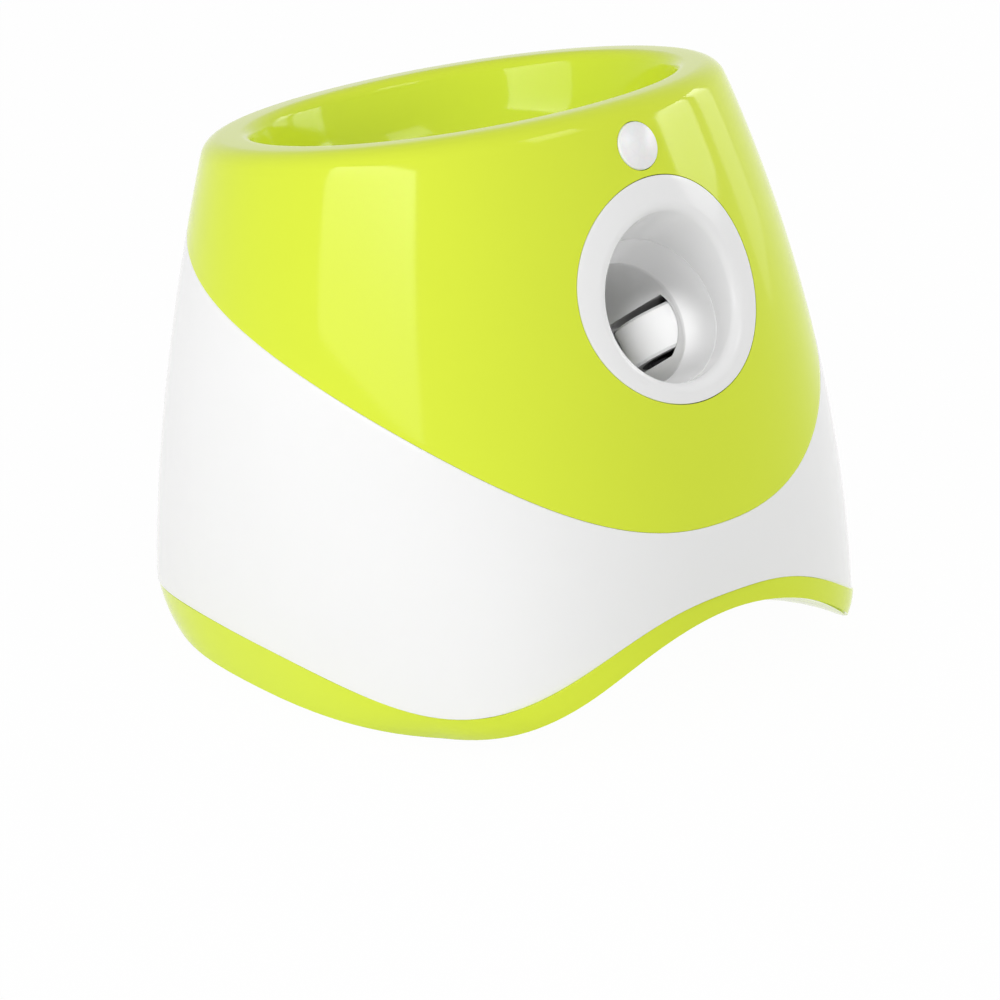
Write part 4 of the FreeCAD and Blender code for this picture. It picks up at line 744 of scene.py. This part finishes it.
class LAUNCHER_OT_body(bpy.types.Operator):
    """White body between hood and base"""

    bl_idname = "launcher.body"
    bl_label = "White body"

    def column(self, form, angle):
        """Points up the skin from the joint with the base to the joint with the hood."""
        roll = form.edge_round
        low = band_height(angle) + form.seam
        top = at_level(angle, lambda y: parting_level(y) - form.seam).z
        points = edge_roll(angle, low, roll, 1)
        points += [skin(angle, z) for z in steps_between(low + roll, top - roll, 60)]
        return points + edge_roll(angle, top, roll, -1)

    def execute(self, context):
        form = context.scene.launcher_form
        columns = [self.column(form, 2 * math.pi * (k + 0.5) / AROUND) for k in range(AROUND)]
        piece = loft_columns("white_body", columns)
        face_along(piece, Vector((0, 130 * MM, 100 * MM)), BACK)
        thicken(piece, form.wall)
        rear = skin(math.pi, PANEL_Z).y
        half = PANEL_HALF - PANEL_R
        cut(piece, drum(PANEL_R, Vector((-half, rear - 12 * MM, PANEL_Z)), BACK, 30 * MM, 96))
        cut(piece, block((0, rear + 3 * MM, PANEL_Z), (half * 2, 30 * MM, PANEL_R * 2)))
        cut(piece, drum(PANEL_R, Vector((half, rear - 12 * MM, PANEL_Z)), BACK, 30 * MM, 96))
        cut(piece, drum(SOCKET_HOLE, Vector((SOCKET_X, 120 * MM, SOCKET_Z)), BACK, 40 * MM, 64))
        smooth(piece, 35)
        dress_shell(piece, "white_shell", "middle_shell")
        return {"FINISHED"}


class LAUNCHER_OT_base(bpy.types.Operator):
    """Lime base with its waved band; its front toes are drawn in and rounded"""

    bl_idname = "launcher.base"
    bl_label = "Base"

    def execute(self, context):
        form = context.scene.launcher_form
        piece = merged_copy("base_tray", "base_moulding")
        shift = frame_shift()
        for vertex in piece.data.vertices:
            x, y, z = vertex.co
            ahead = shift - y
            if z < form.toe_height and ahead > 0:
                corner = min(1.0, (ahead / TOE_FROM) ** 2)
                draw = form.toe_draw * corner * (1 - z / form.toe_height) ** 2
                vertex.co.x = x - math.copysign(draw * min(1.0, abs(x) / TOE_FROM), x)
        smooth(piece, 30)
        dress(piece, "housing", "lime_shell", "base_tray")
        return {"FINISHED"}


class LAUNCHER_OT_muzzle(bpy.types.Operator):
    """White muzzle ring with its rounded mouth and tapered cup"""

    bl_idname = "launcher.muzzle"
    bl_label = "Muzzle ring"

    def column(self, form, angle):
        """Points from behind the rim over the ring's face and mouth, down the cup and back outside it."""
        across, up = math.cos(angle), math.sin(angle)

        def cup(ahead, radius):
            return launch(across * radius, -ahead, up * radius)

        def inner_wall(ahead):
            return cup(ahead, CUP_RADIUS + (CUP_MOUTH - CUP_RADIUS) / CUP_LENGTH * ahead)

        plane = RING_CENTRE + (Vector((across, 0, 0)) + RING_RISE * up) * form.muzzle_radius
        rim = on_skin(plane, RING_NORMAL, 40 * MM)
        mouth = inner_wall(reach_skin(inner_wall, 0.0, 60 * MM))
        deep = cup(-0.1 * MM, CUP_RADIUS)
        outer = cup(-0.1 * MM, CUP_RADIUS + CUP_WALL)

        points = [rim - RING_NORMAL * 6 * MM, rim - RING_NORMAL * 3 * MM]
        points += corner_arc(points[-1], rim, mouth, form.edge_round, 4)
        for share in (0.155, 0.31, 0.465):
            points.append(on_skin(rim + (mouth - rim) * share, RING_NORMAL, 20 * MM))
        points += corner_arc(rim, mouth, deep, form.mouth_round, 14)
        last = points[-1]
        points += [last.lerp(deep, share) for share in (0.2, 0.4, 0.6, 0.8, 1.0)]
        return points + [outer, outer.lerp(mouth, 0.5) + (outer - deep) * 0.3]

    def execute(self, context):
        form = context.scene.launcher_form
        columns = [self.column(form, 2 * math.pi * k / AROUND) for k in range(AROUND)]
        ring = loft_columns("muzzle_ring", columns)
        face_along(ring, RING_CENTRE + RING_RISE * 41 * MM, RING_NORMAL)
        smooth(ring, 50)
        dress_shell(ring, "white_shell", "nozzle_bezel")
        return {"FINISHED"}


class LAUNCHER_OT_tyres(bpy.types.Operator):
    """White tyres, a little narrower than their engineered shape"""

    bl_idname = "launcher.tyres"
    bl_label = "Tyres"

    def execute(self, context):
        axis = launch(0.0, 0.0, 1.0) - MUZZLE
        for side in ("right", "left"):
            piece = merged_copy(side + "_wheel_tyre", side + "_tyre")
            heights = [vertex.co.dot(axis) for vertex in piece.data.vertices]
            middle = (min(heights) + max(heights)) / 2
            share = context.scene.launcher_form.tyre_trim / (max(heights) - middle)
            for vertex, height in zip(piece.data.vertices, heights):
                vertex.co += axis * ((middle - height) * share)
            smooth(piece, 30)
            dress(piece, side + "_wheel", "wheel_rubber", side + "_wheel_tyre")
        return {"FINISHED"}


class LAUNCHER_OT_dome(bpy.types.Operator):
    """Milky dome of the motion sensor"""

    bl_idname = "launcher.dome"
    bl_label = "Sensor dome"

    def execute(self, context):
        ball = (LENS_RADIUS ** 2 + LENS_RISE ** 2) / (2 * LENS_RISE)
        half = math.asin(LENS_RADIUS / ball)
        profile = [(LENS_RADIUS, -6.0 * MM), (LENS_RADIUS, 0.2 * MM)]
        for k in range(1, 20):
            turn = half * (1 - k / 20)
            profile.append((ball * math.sin(turn), LENS_RISE - ball + LENS_STAND + ball * math.cos(turn)))
        profile.append((0.02 * MM, LENS_RISE + LENS_STAND))
        piece = turned("sensor_dome", profile, LENS_CENTRE, LENS_NORMAL, 96)
        face_along(piece, LENS_CENTRE + LENS_NORMAL * LENS_RISE, LENS_NORMAL)
        smooth(piece, 60)
        dress_shell(piece, "lens", "sensor_lens")
        return {"FINISHED"}


# ------------------------------------------------------------------ stage
def place_lamp(light, azimuth, elevation, aim):
    """Stand a lamp at an azimuth, 0 in front and 90 at +X, and an elevation in degrees, facing the aim."""
    turn, lift = math.radians(azimuth), math.radians(elevation)
    towards = Vector((math.sin(turn) * math.cos(lift), -math.cos(turn) * math.cos(lift), math.sin(lift)))
    lamp = bpy.data.objects.new(light.name, light)
    lamp.location = aim + towards * LAMP_DISTANCE
    lamp.rotation_euler = (-towards).to_track_quat("-Z", "Y").to_euler()
    bpy.context.scene.collection.objects.link(lamp)


def soft_box(name, azimuth, elevation, size, radiance, foot):
    """A lit rectangle whose light fades from its top to a share of it at its foot."""
    light = bpy.data.lights.new(name, "AREA")
    light.shape = "RECTANGLE"
    light.size, light.size_y = size
    light.energy = radiance * math.pi * light.size * light.size_y
    light.use_nodes = True
    nodes = Nodes(light.node_tree)
    geometry = nodes.add("ShaderNodeNewGeometry")
    split = nodes.add("ShaderNodeSeparateXYZ", sockets={0: geometry.outputs["Parametric"]})
    up = Term(nodes, split.outputs["Y"])
    glow = next(node for node in light.node_tree.nodes if node.type == "EMISSION")
    nodes.feed(glow.inputs["Strength"], 1 - (1 - up * up) * (1 - foot))
    place_lamp(light, azimuth, elevation, LAMP_AIM)


def narrow_beam(name, azimuth, elevation, power):
    """A thin soft beam through the muzzle onto the right tyre, so that it shows its own colour."""
    light = bpy.data.lights.new(name, "SPOT")
    light.energy, light.shadow_soft_size = power, 4 * MM
    light.spot_size, light.spot_blend = 2 * math.atan(BEAM_RADIUS / LAMP_DISTANCE), 0.8
    place_lamp(light, azimuth, elevation, TREAD + BACK * frame_shift())


class LAUNCHER_OT_stage(bpy.types.Operator):
    """Pale floor, soft studio light and camera"""

    bl_idname = "launcher.stage"
    bl_label = "Stage"

    def lay_floor(self):
        """A pale floor that takes shadows and that camera, mirrors and glass see as nearly plain white."""
        bpy.ops.object.select_all(action="DESELECT")
        bpy.ops.mesh.primitive_plane_add(size=12, location=(0, 0, 0))
        floor = bpy.context.object
        floor.name = "floor"
        pale = Finish("pale_floor", (0.9, 0.9, 0.9), 0.9)
        seen, mirrored, through = pale.rays()
        white = pale.add("ShaderNodeEmission", sockets={"Color": (1, 1, 1, 1), "Strength": 1.0})
        share = (seen * FLOOR_WHITE + mirrored + through).clamp()
        sockets = {0: share, 1: pale.shader.outputs[0], 2: white.outputs[0]}
        blend = pale.add("ShaderNodeMixShader", sockets=sockets)
        output = next(node for node in pale.tree.nodes if node.type == "OUTPUT_MATERIAL")
        pale.feed(output.inputs[0], blend.outputs[0])
        floor.data.materials.append(pale.material)

    def light_world(self, context):
        """White surroundings: dimmer on the object than what camera, mirrors and glass see of them."""
        world = bpy.data.worlds.new("studio")
        world.use_nodes = True
        context.scene.world = world
        nodes = Nodes(world.node_tree)
        background = world.node_tree.nodes["Background"]
        nodes.feed(background.inputs["Color"], (1, 1, 1, 1))
        seen, mirrored, through = nodes.rays()
        nodes.feed(background.inputs["Strength"], (seen + mirrored + through) * (1 - AMBIENT) + AMBIENT)

    def add_camera(self, context):
        data = bpy.data.cameras.new("camera")
        data.lens, data.sensor_width = CAMERA_LENS, 36.0
        camera = bpy.data.objects.new("camera", data)
        camera.location = CAMERA + BACK * frame_shift()
        camera.rotation_euler = (math.pi / 2 - CAMERA_DOWN, 0, CAMERA_TURN)
        context.scene.collection.objects.link(camera)
        context.scene.camera = camera

    def execute(self, context):
        self.lay_floor()
        self.light_world(context)
        soft_box("left_box", azimuth=-83, elevation=17, size=(1.15, 0.80), radiance=7.9, foot=0.28)
        soft_box("front_box", azimuth=10, elevation=45, size=(0.60, 0.46), radiance=6.5, foot=0.5)
        soft_box("right_box", azimuth=86, elevation=10, size=(0.36, 0.75), radiance=7.5, foot=0.08)
        soft_box("bowl_box", azimuth=64, elevation=15, size=(0.56, 0.40), radiance=9.0, foot=0.3)
        narrow_beam("muzzle_light", azimuth=-38, elevation=25, power=70.0)
        self.add_camera(context)
        context.scene.view_settings.view_transform = "Standard"
        return {"FINISHED"}


STEPS = (
    LAUNCHER_OT_finishes,
    LAUNCHER_OT_hood,
    LAUNCHER_OT_body,
    LAUNCHER_OT_base,
    LAUNCHER_OT_muzzle,
    LAUNCHER_OT_tyres,
    LAUNCHER_OT_dome,
    LAUNCHER_OT_stage,
)


class LAUNCHER_PT_panel(bpy.types.Panel):
    """Sidebar panel that lists the launcher's pieces, sizes and colours"""

    bl_idname = "LAUNCHER_PT_panel"
    bl_label = "Launcher"
    bl_space_type = "VIEW_3D"
    bl_region_type = "UI"
    bl_category = "Launcher"

    def draw(self, context):
        column = self.layout.column(align=True)
        for step in STEPS:
            column.operator(step.bl_idname)
        for group in (context.scene.launcher_form, context.scene.launcher_finish):
            for name in group.bl_rna.properties.keys():
                if name not in ("rna_type", "name"):
                    column.prop(group, name)


CLASSES = (LauncherForm, LauncherFinish) + STEPS + (LAUNCHER_PT_panel,)


def register():
    for item in CLASSES:
        bpy.utils.register_class(item)
    bpy.types.Scene.launcher_form = bpy.props.PointerProperty(type=LauncherForm)
    bpy.types.Scene.launcher_finish = bpy.props.PointerProperty(type=LauncherFinish)


def unregister():
    del bpy.types.Scene.launcher_form
    del bpy.types.Scene.launcher_finish
    for item in reversed(CLASSES):
        bpy.utils.unregister_class(item)


def main():
    register()
    for step in STEPS:
        group, name = step.bl_idname.split(".")
        getattr(getattr(bpy.ops, group), name)()


if __name__ == "__main__":
    main()
